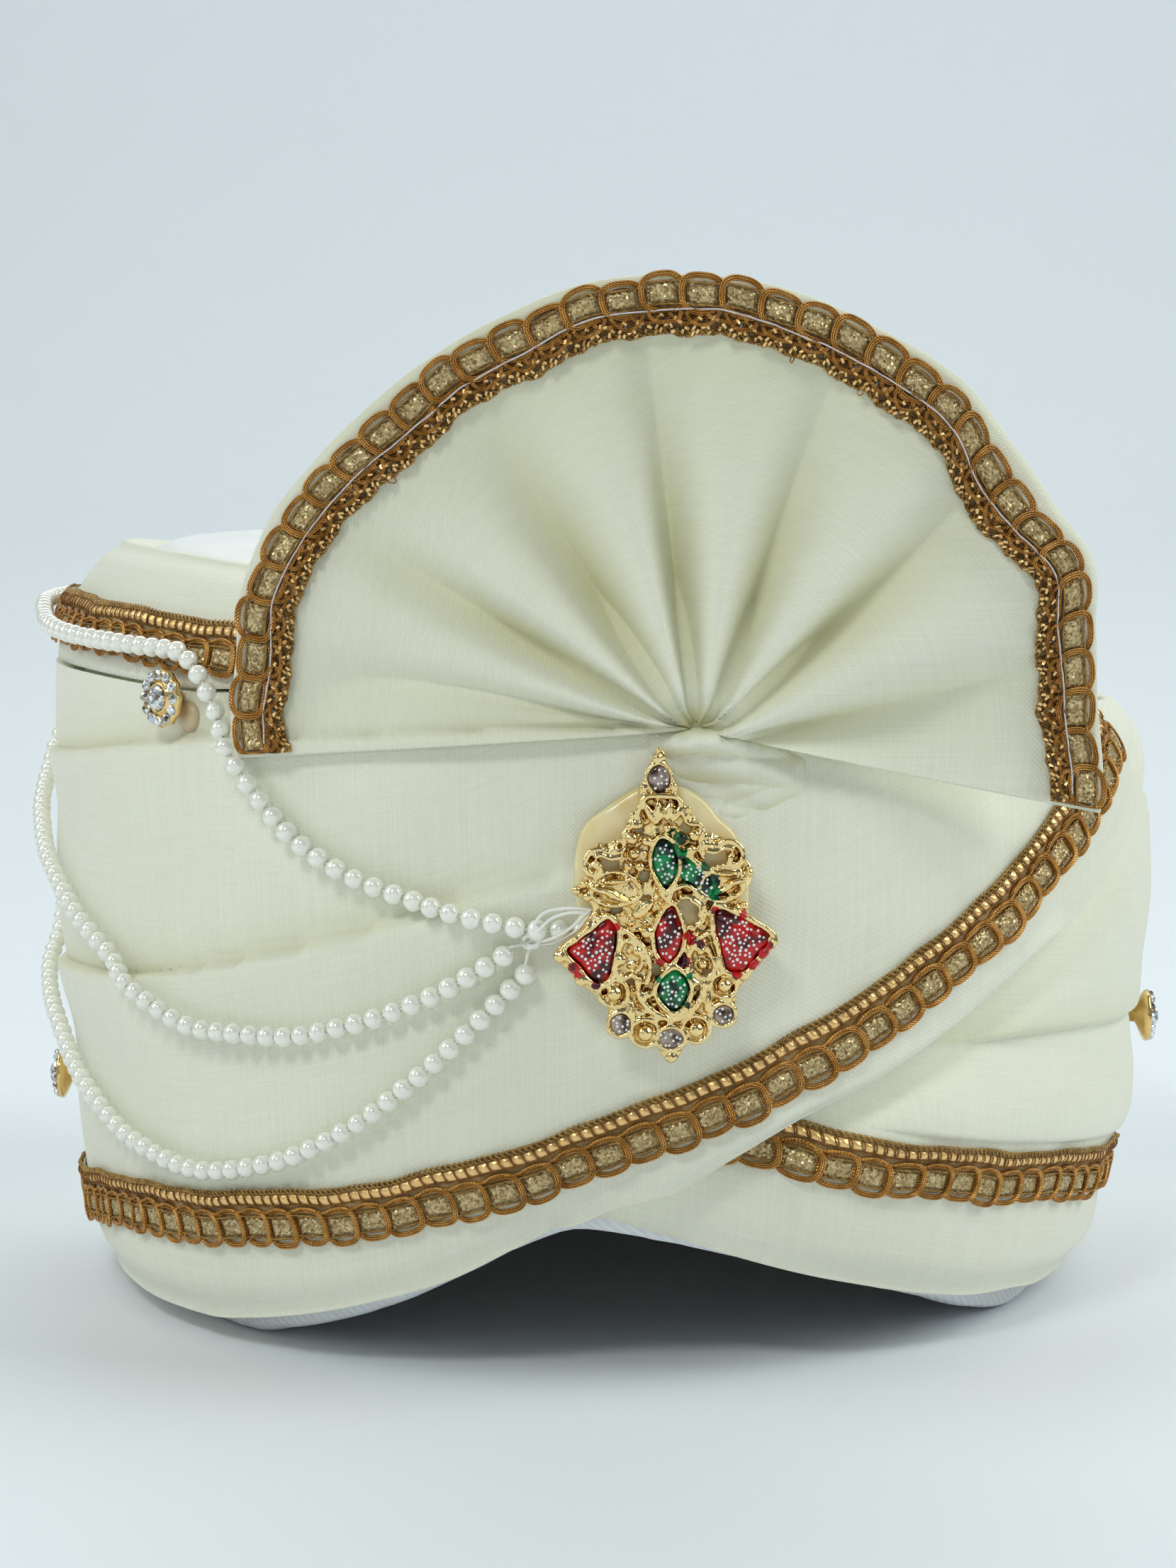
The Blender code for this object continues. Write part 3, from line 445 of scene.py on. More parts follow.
# The base wrap: the first turn of cream cloth, wound round the cap with one fold at the sides and
# back. Its lower edge rolls under the cap's rim and the lace sits below a second, shallow fold.
CLOTH_PER_DEGREE = 2.14
WRAP_DEPTH = 5.2
WRAP_CLEARANCE = 0.8
CLOTH_INSIDE = -20.0
FOOT_REACH = 3.0
GAP = 0.3
SIDES = Table(
    ("share", "left", "front", "right", "back"),
    (0.00, -12.0, -10.0, -15.0, -13.0), (0.05, -8.0, -7.0, -10.0, -9.0),
    (0.12, -6.6, -5.0, -8.4, -6.5), (0.20, -4.2, -3.6, -6.2, -4.5),
    (0.27, -3.4, -2.6, -2.4, -3.0), (0.33, -3.0, -2.0, -1.2, -2.2),
    (0.42, -2.0, -1.0, -0.4, -1.2), (0.50, -0.6, -0.4, 0.6, -0.4), (0.60, 0.0, 0.0, 1.6, 0.0),
    (0.73, 0.0, -0.3, 1.5, -0.4), (0.83, -0.9, -1.4, 0.2, -1.6), (0.89, -2.4, -3.2, -2.2, -3.6),
    (0.94, -6.0, -6.2, -6.4, -6.8), (0.98, -10.5, -10.5, -12.0, -11.0),
    (1.00, -15.0, -15.0, -17.0, -15.5),
)
ROLL = Table(
    ("angle", "drop"),
    (-180, 26), (-90, 25), (-45, 24), (-15, 14), (0, 8), (40, 7), (75, 5), (105, 5), (122, 6),
    (150, 20), (180, 26),
)
CROSSING = Table(
    ("angle", "edge"),
    (-4, 30.6), (2, 35.1), (7, 37.8), (12, 43.3), (19, 50.7), (26, 56.5), (33, 63.6), (38, 68.8),
    (46, 78.5), (55, 87.5), (64, 98.5), (72, 107), (82, 113.5), (98, 119), (120, 121),
)
FOLD = Table(
    ("angle", "height"),
    (-180, 55), (34, 62.9), (42, 63.2), (55, 62.4), (74, 60.2), (95, 57), (180, 55),
)
SIDE_LACE = Table(
    ("angle", "height", "width"),
    (16, 46.4, 3.8), (18, 48.4, 6.8), (20.6, 49.4, 9.8), (23, 48.8, 11), (27, 47, 11),
    (33.5, 44.2, 11), (38.5, 42.3, 11), (47, 39.4, 11), (56, 36.8, 11), (72, 33.2, 11),
    (90, 29.8, 11), (180, 26, 11), (262, 23.4, 11),
)
CLOTH_RIPPLES = (
    (190, 60, 0.35, 0.3), (87, -44, 0.22, 1.7), (131, 23, 0.18, 4.0), (52, 71, 0.12, 2.6),
    (29, -97, 0.05, 5.5),
)


def ease(value):
    """0 below 0, 1 above 1, and a smooth step between."""
    value = np.clip(value, 0, 1)
    return value * value * (3 - 2 * value)


def roll_line(angle):
    return crest(angle) - ROLL.at("drop", angle)


def envelope(angle, height):
    """Offset of the cloth's outer surface from the oval."""
    low = RIM.at("cloth", angle)
    share = (height - low) / (crest(angle) - low)
    across, along = np.sin(np.radians(angle)), np.cos(np.radians(angle))
    side = np.where(across > 0, SIDES.at("right", share), SIDES.at("left", share))
    end = np.where(along > 0, SIDES.at("front", share), SIDES.at("back", share))
    return side * across**2 + end * along**2


def wrap_share(angle):
    """Thickness of the front wrap as a share of its full depth: thin at its tucked ends."""
    return (0.3 + 0.7 * ease((angle + 172) / 22)) * (1 - 0.5 * ease((angle - 98) / 20))


def wrap_edge(angle):
    """Lower edge of the front wrap."""
    return np.where(angle < -4, RIM.at("cloth", angle), CROSSING.at("edge", angle))


def under_wrap(angle, height):
    """1 where the base wrap lies under the front wrap, 0 where it is open to view."""
    ramp = ease((height - wrap_edge(angle) + 12) / 11)
    share = np.where(angle < 8, 1.0, np.maximum(ramp, 1 - ease((angle - 8) / 17)))
    return np.where((angle < -172) | (angle > 121), 0.0, share)


def folded_edge(height, line, rise, reach, lip, hollow=0.0):
    """A folded edge that faces up: round at its lip, with a crease above, fading in below."""
    below = line - height
    near = np.clip(below / lip, 0, 1)
    lip_round = np.sqrt(np.clip(1 - (1 - near) ** 2, 0, 1))
    above = np.clip(-below, 0, None)
    crease = -0.45 * np.exp(-((above / 0.8) ** 2)) - hollow * np.exp(-above / 6)
    return rise * (1 - ease(below / reach)) * lip_round * (below >= 0) + crease * (below < 0)


def crease_shade(height, line):
    """How much painted shade a point takes near the crease of a folded edge, from 0 to 1."""
    gap = height - line
    return np.where(gap > 0, np.exp(-np.abs(gap) / 4.0), np.exp(-np.abs(gap) / 0.7))


def hung_edge(height, line, rise, reach):
    """A folded edge that faces down: the cloth above it hangs proud of what lies below."""
    return folded_edge(-height, -line, rise, reach, 1.0)


def base_out(angle, height):
    """Outer surface of the base wrap, open to view or sunk under the front wrap."""
    seen = np.where(angle > 0, ease((angle - 25) / 12), 1.0)
    outer = envelope(angle, height)
    fold = FOLD.at("height", angle) + ripple(((90, 1e9, 0.5, 1.0),), angle * 2.1, 0)
    swell = ease((fold - height) / 1.5) * (1 - ease((fold - height) / 15))
    outer = outer - 2.0 * swell * seen - 0.5 * np.exp(-(((height - fold + 1.0) / 1.3) ** 2)) * seen
    turn = np.where(angle < 0, angle + 360, angle)
    hem = SIDE_LACE.at("height", turn) + 1.3
    outer = outer + hung_edge(height, hem, 0.9, 12) * ease((turn - 24) / 14)
    outer = outer + ripple(CLOTH_RIPPLES, angle * CLOTH_PER_DEGREE, height - 0.1 * angle)
    share = under_wrap(angle, height)
    sunk = envelope(angle, height) - WRAP_DEPTH * wrap_share(angle) - WRAP_CLEARANCE
    return outer + (sunk - outer) * share


def rows_between(marks, counts):
    """Heights bunched towards each pair of marks."""
    found = []
    for low, high, count in zip(marks, marks[1:], counts):
        for i in range(count):
            share = 0.5 - 0.5 * np.cos(np.pi * i / count)
            found.append(low + (high - low) * share)
    found.append(marks[-1])
    return found


def wound(name, angles, heights, surface, inside, closed, shaded_creases, foot=6):
    """A wound piece: its outer face by rows of heights, turned in at its foot and top."""
    outer = [on_oval(angles, z, surface(angles, z)) for z in heights]
    low, high = heights[0], heights[-1]
    start = surface(angles, low)
    under = []
    for turn in np.linspace(0, np.pi / 2, foot + 1)[1:]:
        under.append(on_oval(angles, low, start - FOOT_REACH * np.sin(turn)))
    back = []
    for share in (0.02, 0.3, 0.6, 0.98):
        z = low + (high - low) * share
        back.append(on_oval(angles, z, inside(angles, z)))
    grid = np.stack(under[::-1] + outer + back[::-1], axis=1)
    # Points near each crease line take painted shade, at the share given with the line.
    marks = [sum(crease_shade(z, line) * share for line, share in shaded_creases) for z in heights]
    deep = np.stack([0 * start] * len(under) + marks + [0 * start] * len(back), axis=1)
    return skin(name, grid, (closed, True), fold=np.clip(deep, 0, 1))


angles = np.linspace(-180, 180, 360, endpoint=False)
turn = np.where(angles < 0, angles + 360, angles)
rim = RIM.at("cloth", angles)
top = roll_line(angles) - GAP
hem = np.clip(SIDE_LACE.at("height", turn) + 1.3, rim + 8, top - 30)
fold = np.clip(FOLD.at("height", angles), hem + 6, top - 10)
# The side fold takes painted shade at a share of 0.35, none where the front wrap covers it.
depth = np.where(angles > 0, 0.35 * ease((angles - 25) / 12), 0.35)
base = wound(
    "base_wrap_cloth", angles, rows_between((rim, hem, fold, top), (26, 22, 26)), base_out,
    lambda a, z: CLOTH_INSIDE + 0 * a, True, ((FOLD.at("height", angles), depth),),
)
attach(base, "root")
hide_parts("base_wrap")

# The front wrap: the outer turn, laid diagonally over the base in three tiers whose folded edges
# run from the left side towards the knot, with one soft rolled edge that crosses the forehead.
TIERS = Table(
    ("angle", "lower", "upper"),
    (-180, 66, 108), (-90, 68.5, 114), (-67, 70.8, 116), (-55, 72.4, 118.3), (-45, 75.2, 120.6),
    (-30, 82, 122.8), (-13, 92.3, 124.3), (-1, 100.8, 125), (9, 111, 126), (22, 105, 121),
    (60, 113, 119), (120, 122, 122.6),
)
TIER_LIP = 0.8
EDGE_RIPPLES = ((60, 9.0, 0.16, 0.6), (95, 5.2, 0.12, 2.0), (41, 13, 0.1, 3.7))


def wrap_out(angle, height):
    """Outer surface of the front wrap, with its tiers' steps and its soft lower edge."""
    reach = 1 - ease((angle - 4) / 12)
    left = 1 - 0.6 * ease((-60 - angle) / 40)
    steps = folded_edge(height, TIERS.at("lower", angle), 1.7, 18, TIER_LIP, 1.5) * reach * left
    upper = folded_edge(height, TIERS.at("upper", angle), 1.5, 16, TIER_LIP, 1.1) * reach * left
    steps = steps + upper
    crossing = ease((angle - 2) / 14) * (1 - ease((angle - 100) / 20))
    above = height - wrap_edge(angle)
    proud = 1.6 * crossing * (1 - ease((above - 5) / 22))
    depth = WRAP_DEPTH * wrap_share(angle)
    tuck = (depth - 1.0) * (1 - ease(above / 4.5)) ** 2 * crossing
    along = angle * CLOTH_PER_DEGREE
    rolled = ripple(EDGE_RIPPLES, along, above) * crossing * (1 - ease((above - 14) / 10))
    loose = ripple(CLOTH_RIPPLES, along, height - TIERS.at("lower", angle))
    return envelope(angle, height) + steps + proud - tuck + rolled + loose


def wrap_inner(angle, height):
    return envelope(angle, height) - WRAP_DEPTH * wrap_share(angle)


angles = np.linspace(-172, 120, 331)
low = wrap_edge(angles)
top = roll_line(angles) - GAP
lower = np.clip(TIERS.at("lower", angles), low + 0.4 * (top - low), top - 0.45 * (top - low))
upper = np.clip(TIERS.at("upper", angles), lower + 0.2 * (top - lower), top - 0.1 * (top - low))
# The tiers' folded edges take painted shade in their creases, fading out towards the right.
shaded_creases = (
    (TIERS.at("lower", angles), 0.45 * (1 - ease((angles + 30) / 40))),
    (TIERS.at("upper", angles), 0.4 * (1 - ease((angles - 4) / 12))),
)
wrap = wound(
    "front_wrap_cloth", angles, rows_between((low, lower, upper, top), (36, 26, 12)), wrap_out,
    wrap_inner, False, shaded_creases, foot=4,
)
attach(wrap, "root")
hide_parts("front_wrap")

# The top roll: a strip of the same cream cloth, rolled and laid round the crown's edge. It stands
# highest at the left and holds the edge of the satin down.
ROLL_INNER_DROP = 2.5
ROLL_RIPPLES = ((140, 34, 0.4, 0.9), (63, -18, 0.3, 2.8), (38, 27, 0.15, 4.4))


def roll_out(angle, height):
    share = (height - roll_line(angle)) / (crest(angle) - roll_line(angle))
    soft = ripple(ROLL_RIPPLES, angle * CLOTH_PER_DEGREE, height - crest(angle))
    return envelope(angle, height) + soft * np.clip(4 * share, 0, 1) * np.clip(6 - 6 * share, 0, 1)


angles = np.linspace(-180, 180, 360, endpoint=False)
low, high = roll_line(angles) + GAP, crest(angles)
section = [on_oval(angles, high - ROLL_INNER_DROP, CLOTH_INSIDE + 0 * angles)]
section.append(on_oval(angles, low, CLOTH_INSIDE + 0 * angles))
for s in np.sin(np.linspace(0, np.pi / 2, 26)):
    z = low + (high - low) * s
    section.append(on_oval(angles, z, roll_out(angles, z)))
for s in np.linspace(0.15, 0.85, 5):
    out = envelope(angles, high) * (1 - s) + CLOTH_INSIDE * s
    section.append(on_oval(angles, high + 0.7 * np.sin(np.pi * s) - ROLL_INNER_DROP * s * s, out))
grid = np.stack(section, axis=1)
roll = skin("top_roll_cloth", grid, (True, True))
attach(roll, "root")
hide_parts("top_roll")

cream_cloth = new_material("cream_cloth", 0.82, sheen=0.25)
nodes = Nodes(cream_cloth)
over, holes = weave(nodes, 0.46)
thick = slubs(nodes, 0.5)
tint = nodes.mix(nodes.noise(14.0), (0.83, 0.82, 0.66), (0.86, 0.86, 0.73))
tint = nodes.mix(nodes.math("MULTIPLY", holes, 0.55), tint, (0.62, 0.60, 0.42))
tint = nodes.mix(nodes.ramp(thick, 0.35, 0.65), tint, nodes.mix(0.5, tint, (0.9, 0.9, 0.8)))
# Where the fold attribute is high the cloth is painted a deeper yellow-green: painted shade in
# creases, pleat valleys and the knot, and on the fan's top and outer part.
deep = nodes.add("ShaderNodeAttribute", output=2, attribute_name="fold")
nodes.colour(nodes.mix(deep, tint, (0.66, 0.63, 0.34)))
nodes.bump(nodes.math("ADD", over, nodes.math("MULTIPLY", thick, 1.2)), 0.00006, 0.5)
for piece in (base, wrap, roll):
    piece.data.materials.append(cream_cloth)

# The fan: the wrap's free end, starched, doubled and pleated about its knot so that it stands up
# behind the brooch. The pleats are deep and close at the knot and shallow at the laced edge.
KNOT_X = 17.2
KNOT_Z = 125.0
FAN_FRONT_Y = -134.0
FAN_CURVE_RADIUS = 230.0
FAN_THICKNESS = 2.2
FAN_ROOT = 1.1
FAN_SPAN = (-12, 184)
LEAN_RIGHT = 13.0
LEAN_LEFT = 9.0
FAN_OUTLINE = Table(
    ("direction", "radius"),
    (-12, 76.5), (3, 74.5), (14, 76), (23, 79.2), (32, 77.2), (44, 77.8), (54, 79.5), (65, 80),
    (74, 81.2), (89, 82.8), (104, 83.8), (115, 83.2), (126, 83.4), (136, 84), (145, 85.4),
    (154, 87.4), (163, 87.6), (172, 85.8), (184, 86),
)
FAN_TRIM = Table(
    ("direction", "cut", "inset"),
    (-12, 0, 0.4), (3, 0, 1.0), (15, 0, 1.2), (24, 0, 1.4), (31, 0, 2.4), (41, 0.2, 3.6),
    (49, 0.4, 2.0), (60, 0.8, 0.9), (75, 1.4, 0.4), (95, 1.6, 0.2), (110, 1.4, 0.6),
    (122, 1.0, 1.4), (131, 0.8, 2.0), (142, 0.6, 1.7), (151, 0.4, 1.1), (163, 0.2, 0.6),
    (184, 0, 0.3),
)
PLEATS = (
    # valley's direction, how far its line misses the knot, depth near and far, next crest's share
    (-34.0, 0.0, 1.0, 0.5, 0.45), (13.0, -3.4, 8.0, 2.8, 0.30), (42.0, -2.2, 11.5, 5.2, 0.36),
    (71.0, -2.2, 10.5, 4.4, 0.44), (97.0, 0.4, 11.5, 4.6, 0.34), (122.0, 2.0, 12.5, 5.6, 0.66),
    (149.5, 1.2, 12.0, 5.2, 0.64), (173.0, 0.3, 7.0, 2.4, 0.66), (212.0, 0.0, 0.6, 0.3, 0.5),
)
GRID_STEP = 0.75
GRID_ANGLES = np.arange(-180, 180, GRID_STEP)
GRID_HEIGHTS = np.arange(0, 166, GRID_STEP)


def clothed():
    """Offset of the outermost cloth over a grid of angles and heights."""
    a, z = np.meshgrid(GRID_ANGLES, GRID_HEIGHTS, indexing="ij")
    at = np.clip(z, RIM.at("cloth", a), crest(a))
    out = np.where(at > roll_line(a), roll_out(a, at), base_out(a, np.minimum(at, roll_line(a))))
    covered = (a > -172) & (a < 120) & (at >= wrap_edge(a) - 0.4) & (at <= roll_line(a))
    return np.where(covered, np.maximum(out, wrap_out(a, np.maximum(at, wrap_edge(a)))), out)


cloth_grid = clothed()


def sampled(grid, angle, height):
    """A grid's value at an angle and height."""
    i = (np.asarray(angle) + 180) % 360 / GRID_STEP
    k = np.clip(np.asarray(height) / GRID_STEP, 0, len(GRID_HEIGHTS) - 1.001)
    i0, k0 = np.floor(i).astype(int) % len(GRID_ANGLES), np.floor(k).astype(int)
    i1, s, t = (i0 + 1) % len(GRID_ANGLES), i - np.floor(i), k - k0
    low = grid[i0, k0] * (1 - s) + grid[i1, k0] * s
    high = grid[i0, k0 + 1] * (1 - s) + grid[i1, k0 + 1] * s
    return low * (1 - t) + high * t


def wrap_front(x, z):
    """How far forward the wound cloth lies, seen from the front."""
    out = 0
    for _ in range(4):
        share = (x - OVAL_CENTRE_X) / (HALF_WIDTH + out)
        angle = np.degrees(np.arcsin(np.clip(share, -0.98, 0.98)))
        out = sampled(cloth_grid, angle, z)
    return OVAL_CENTRE_Y - (HALF_DEPTH + out) * np.cos(np.radians(angle))


def fan_depth(direction, radius):
    """How far the fan's front lies behind its ridges."""
    near = 1 - ease((radius - 22) / 46)
    out = ease((radius - 58) / 18)
    lines, depths, shares = [], [], []
    for where, miss, deep, far, share in PLEATS:
        bend = np.degrees(np.arcsin(np.clip(miss / np.maximum(radius, 4), -0.6, 0.6)))
        lines.append(where + bend)
        depths.append((far + (deep - far) * near) * (1 - 0.5 * out))
        shares.append(share)
    depth = np.zeros(np.broadcast(direction, radius).shape)
    for i in range(len(lines) - 1):
        span = lines[i + 1] - lines[i]
        s = (direction - lines[i]) / span
        first = s < shares[i]
        t = np.where(first, s / shares[i], (1 - s) / (1 - shares[i]))
        rise = np.sin(np.pi / 2 * np.clip(t, 0, 1))
        lift = rise**1.1 * near + rise**1.25 * (1 - near)
        here = np.where(first, depths[i], depths[i + 1]) * (1 - lift)
        depth = np.where((s >= 0) & (s < 1), here, depth)
    return np.minimum(depth, 0.36 * radius + 1.2)


def fan_front(direction, radius):
    """Front face of the fan at a direction and distance from the knot. Its two lower corners lean
    back on to the wound cloth, along the line of sight."""
    turn = np.radians(direction)
    x = KNOT_X + radius * np.cos(turn)
    z = KNOT_Z + radius * np.sin(turn)
    y = FAN_FRONT_Y + (x - KNOT_X) ** 2 / (2 * FAN_CURVE_RADIUS) + fan_depth(direction, radius)
    soft = ripple(((60, 47, 0.25, 0.5), (33, -71, 0.15, 2.2)), x, z) * ease((radius - 20) / 30)
    y = y + soft + 6.0 * (1 - ease((radius - 1) / 7)) + OVAL_CENTRE_Y
    x, y, z = np.broadcast_arrays(x + OVAL_CENTRE_X, y, z)
    lean = LEAN_RIGHT * (1 - ease((direction + 12) / 42)) + LEAN_LEFT * ease((direction - 156) / 26)
    room = wrap_front(x, z) - FAN_THICKNESS - 0.4 - y
    lean = np.minimum(room, lean * ease(radius / 42))
    y = y + room - 1.6 * np.logaddexp(0, room / 1.6) - 3.5 * ease((z - 158) / 46)
    points = np.stack([x, y, z], axis=-1)
    eye = np.array(camera.location) / MM
    return points + (points - eye) * (np.clip(lean, 0, None) / (y - eye[1]))[..., None]


directions = np.linspace(*FAN_SPAN, 420)[:, None]
edge = FAN_OUTLINE.at("radius", directions) - FAN_TRIM.at("cut", directions)
steps = np.concatenate([np.linspace(0, 0.3, 22)[:-1], np.linspace(0.3, 1, 44)])[None, :]
radii = FAN_ROOT + (edge - 0.5 - FAN_ROOT) * steps
front = fan_front(directions, radii)
thin = np.clip(radii / 12, 0.35, 1)[..., None]
back = front + np.array([0, FAN_THICKNESS, 0]) * thin
rounded = 0.5 * (front[:, -1:] + back[:, -1:])
rounded = rounded + 0.5 * (front[:, -1:] - front[:, -2:-1]) / 2
grid = np.concatenate([front, rounded, back[:, ::-1]], axis=1)
arc = np.radians(directions) * radii
uv = np.stack([arc, np.broadcast_to(radii, arc.shape)], -1)
uv = np.concatenate([uv, uv[:, -1:] + [0, 1], uv[:, ::-1]], axis=1)
uv = np.concatenate([uv, uv[:, :1]], axis=1)
uv = np.concatenate([uv, uv[-1:]], axis=0)
# The fan's fold values are painted shade: in its pleat valleys, at the pinch by the knot, and a
# little towards its outer edge and its top.
deep = np.clip(fan_depth(directions, radii) / 12, 0, 1) ** 1.1
painted_outer_shade = 0.08 * ease((radii - 44) / 28) + 0.24 * ease((front[..., 2] - 150) / 50)
deep = np.maximum(0.75 * deep, painted_outer_shade)
deep = np.maximum(deep, 1 - ease((radii - 1) / 5))
deep = np.concatenate([deep, deep[:, -1:], deep[:, ::-1]], axis=1)
fan = skin("fan_cloth", grid, (False, True), uv, fold=deep)
fan.data.materials.append(cream_cloth)
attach(fan, "root")
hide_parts("turra_fan")

# The gold lace: a net band with looped cords laid over it, glitter pads inside the loops and a
# chain of foil along its straight edge. One pitch is made flat, with x along the band and y from
# its straight edge; a node tree repeats it, and each band is then bent along its own edge.
LACE_PITCH = 7.15
LACE_WIDTH = 11.7
NARROW_LACE = 11.0
LOOP_MIDDLE = 7.95
LOOP_HALF = (3.8, 3.45)
LOOP_POINTS = 34
LOOP_POWER = 2.7
UV_SQUARE = ((0, 0), (1, 0), (1, 1), (0, 1))
LACE_LIFT = 0.45
LACE_OVERRUN = 1.2


def sweep(path, profile, closed=False):
    """Points, faces and UVs of a flat-lying cord: a profile of (across, up) along a path."""
    path, profile = np.array(path, float), np.array(profile, float)
    n, m = len(path), len(profile)
    if closed:
        way = np.roll(path, -1, 0) - np.roll(path, 1, 0)
    else:
        way = np.gradient(path, axis=0)
    across = np.stack([-way[:, 1], way[:, 0]], -1)
    across = across / np.maximum(np.linalg.norm(across, axis=1, keepdims=True), 1e-6)
    points = np.repeat(path[:, None], m, 1)
    points[:, :, :2] += across[:, None] * profile[None, :, :1]
    points[:, :, 2] += profile[None, :, 1]
    run = np.concatenate([[0], np.cumsum(np.linalg.norm(np.diff(path, axis=0), axis=1))])
    run = np.append(run, run[-1] + np.linalg.norm(path[0] - path[-1]))
    faces, corners = [], []
    for i in range(n if closed else n - 1):
        for k in range(m):
            j, l = (i + 1) % n, (k + 1) % m
            faces.append((i * m + k, j * m + k, j * m + l, i * m + l))
            sides = (k / m, (k + 1) / m)
            corners += [(run[i], sides[0]), (run[i + 1], sides[0])]
            corners += [(run[i + 1], sides[1]), (run[i], sides[1])]
    if not closed:
        faces += [tuple(range(m)), tuple(range(n * m - 1, (n - 1) * m - 1, -1))]
        corners += [(0, 0)] * (2 * m)
    return points.reshape(-1, 3), faces, np.array(corners)


def round_profile(radius, sides):
    turns = 2 * np.pi * np.arange(sides) / sides
    return [(radius * np.cos(t), radius * np.sin(t)) for t in turns[::-1]]


def pattern(name, made, smooth=True):
    """One mesh from several (points, faces, uv), in millimetres, with its UV map."""
    points = np.concatenate([p for p, _, _ in made])
    faces, start = [], 0
    for p, f, _ in made:
        faces += [tuple(int(i) + start for i in face) for face in f]
        start += len(p)
    mesh = bpy.data.meshes.new(name)
    mesh.from_pydata(points.tolist(), [], faces)
    corners = np.concatenate([c for _, _, c in made]).astype(np.float32)
    layer = mesh.uv_layers.new(name="cloth")
    layer.data.foreach_set("uv", (corners * MM).reshape(-1))
    if smooth:
        mesh.shade_smooth()
    return new_object(name, mesh)


def loop_path():
    """A rounded loop, low at its left end and high at its right, so that each laps the next."""
    turns = 2 * np.pi * np.arange(LOOP_POINTS) / LOOP_POINTS
    c, s = np.cos(turns), np.sin(turns)
    x = LOOP_HALF[0] * np.sign(c) * np.abs(c) ** (2 / LOOP_POWER) + LACE_PITCH / 2
    y = LOOP_HALF[1] * np.sign(s) * np.abs(s) ** (2 / LOOP_POWER) + LOOP_MIDDLE
    return np.stack([x, y, LACE_LIFT + 0.42 * c], -1)


def plate(points, columns):
    """Rows of points, the faces between them and a UV square on each face."""
    faces = []
    for a in range(0, len(points) - columns, columns):
        for b in range(a, a + columns - 1):
            faces.append((b, b + columns, b + columns + 1, b + 1))
    return np.array(points), faces, np.tile(UV_SQUARE, (len(faces), 1))


def cord(x, y, z, radius, sides=4):
    """A round cord through points laid flat."""
    line = np.stack(np.broadcast_arrays(x, y, z), -1)
    return sweep(line, round_profile(radius, sides))


STRANDS = [(-0.6, -0.2), (-0.56, 0.2), (-0.4, 0.36), (-0.22, -0.12), (0.0, 0.46)]
STRANDS += [(0.22, -0.12), (0.4, 0.36), (0.56, 0.2), (0.6, -0.2)]
cords = [sweep(loop_path(), STRANDS[::-1], True)]
x = np.linspace(0, LACE_PITCH, 11)
bow = 0.35 * np.cos(2 * np.pi * x / LACE_PITCH)
cords.append(cord(x, 4.55 + bow, 0.75 + 0.1 * np.sin(x * 2.6), 0.3, 5))
foil = []
for i in range(3):
    points = []
    for a in np.linspace(0, 1, 4):
        for b in np.linspace(0, 1, 4):
            x = LACE_PITCH / 3 * i + 0.16 + 2.08 * a + 0.45 * (b - 0.5)
            dome = 0.75 + 0.3 * np.sin(np.pi * a) * np.sin(np.pi * b)
            high = dome if 0 < a < 1 and 0 < b < 1 else LACE_LIFT
            points.append((x, 1.55 + 1.75 * b, high))
    foil.append(plate(points, 4))
rng = np.random.default_rng(7)
points = []
for a in np.linspace(-1, 1, 9):
    for b in np.linspace(-1, 1, 7):
        x = LACE_PITCH / 2 + 2.75 * a
        y = LOOP_MIDDLE - 0.15 + 1.9 * b
        high = 0.85 - 0.5 * max(abs(a), abs(b)) ** 6 + rng.uniform(-0.09, 0.09)
        points.append((x + rng.uniform(-0.1, 0.1), y + rng.uniform(-0.1, 0.1), high))
glitter = [plate(points, 7)]
threads = []
for y in (LOOP_MIDDLE - 2.2, LOOP_MIDDLE + 1.95):
    x = np.linspace(0, LACE_PITCH, 17)
    threads.append(cord(x, y, 0.72 + 0.3 * np.cos(2 * np.pi * x / LACE_PITCH * 4), 0.24))
for phase in (0, np.pi):
    x = np.linspace(0, LACE_PITCH, 19)
    turn = 2 * np.pi * x / LACE_PITCH * 3 + phase
    threads.append(cord(x, 0.78 + 0.5 * np.sin(turn), LACE_LIFT + 0.22 * np.cos(turn), 0.26))
binding = []
for i in range(3):
    s = np.linspace(0, 1, 7)
    x = LACE_PITCH / 3 * i + 0.1 + 0.3 * (s - 0.5) + 0.16 * np.sin(np.pi * s)
    binding.append(cord(x, 1.3 + 2.25 * s, 0.6 + 0.4 * np.sin(np.pi * s), 0.17))
x = np.linspace(0, LACE_PITCH, 13)
binding.append(cord(x, 3.45 + 0.12 * np.sin(2 * np.pi * x / LACE_PITCH * 3), 0.5, 0.2))


def metal_yarn(name, light, dark, twist, rough, metallic, gap=0.4):
    """Metal-wrapped yarn: slanted wraps along its own UV, with painted shade between them."""
    made = new_material(name, rough, metallic=metallic)
    nodes = Nodes(made)
    uv = nodes.split(nodes.uv())
    along = nodes.math("MULTIPLY", uv[0], 2 * np.pi / (twist * MM))
    around = nodes.math("MULTIPLY", uv[1], 2 * np.pi * 3 / MM)
    wraps = nodes.math("SINE", nodes.math("ADD", along, around))
    strands = nodes.math("COSINE", nodes.math("MULTIPLY", uv[1], 2 * np.pi * 4.5 / MM))
    relief = nodes.math("ADD", nodes.math("MULTIPLY", wraps, 0.5), strands)
    tone = nodes.mix(nodes.ramp(nodes.noise(420.0, 3.0), 0.36, 0.62), dark, light)
    # Low places of the relief are painted darker, down to gap times the dark colour: painted shade.
    shade = nodes.ramp(relief, -1.1, 0.4)
    nodes.colour(nodes.mix(shade, tuple(gap * c for c in dark), tone))
    nodes.bump(wraps, 0.00012, 0.8)
    return made


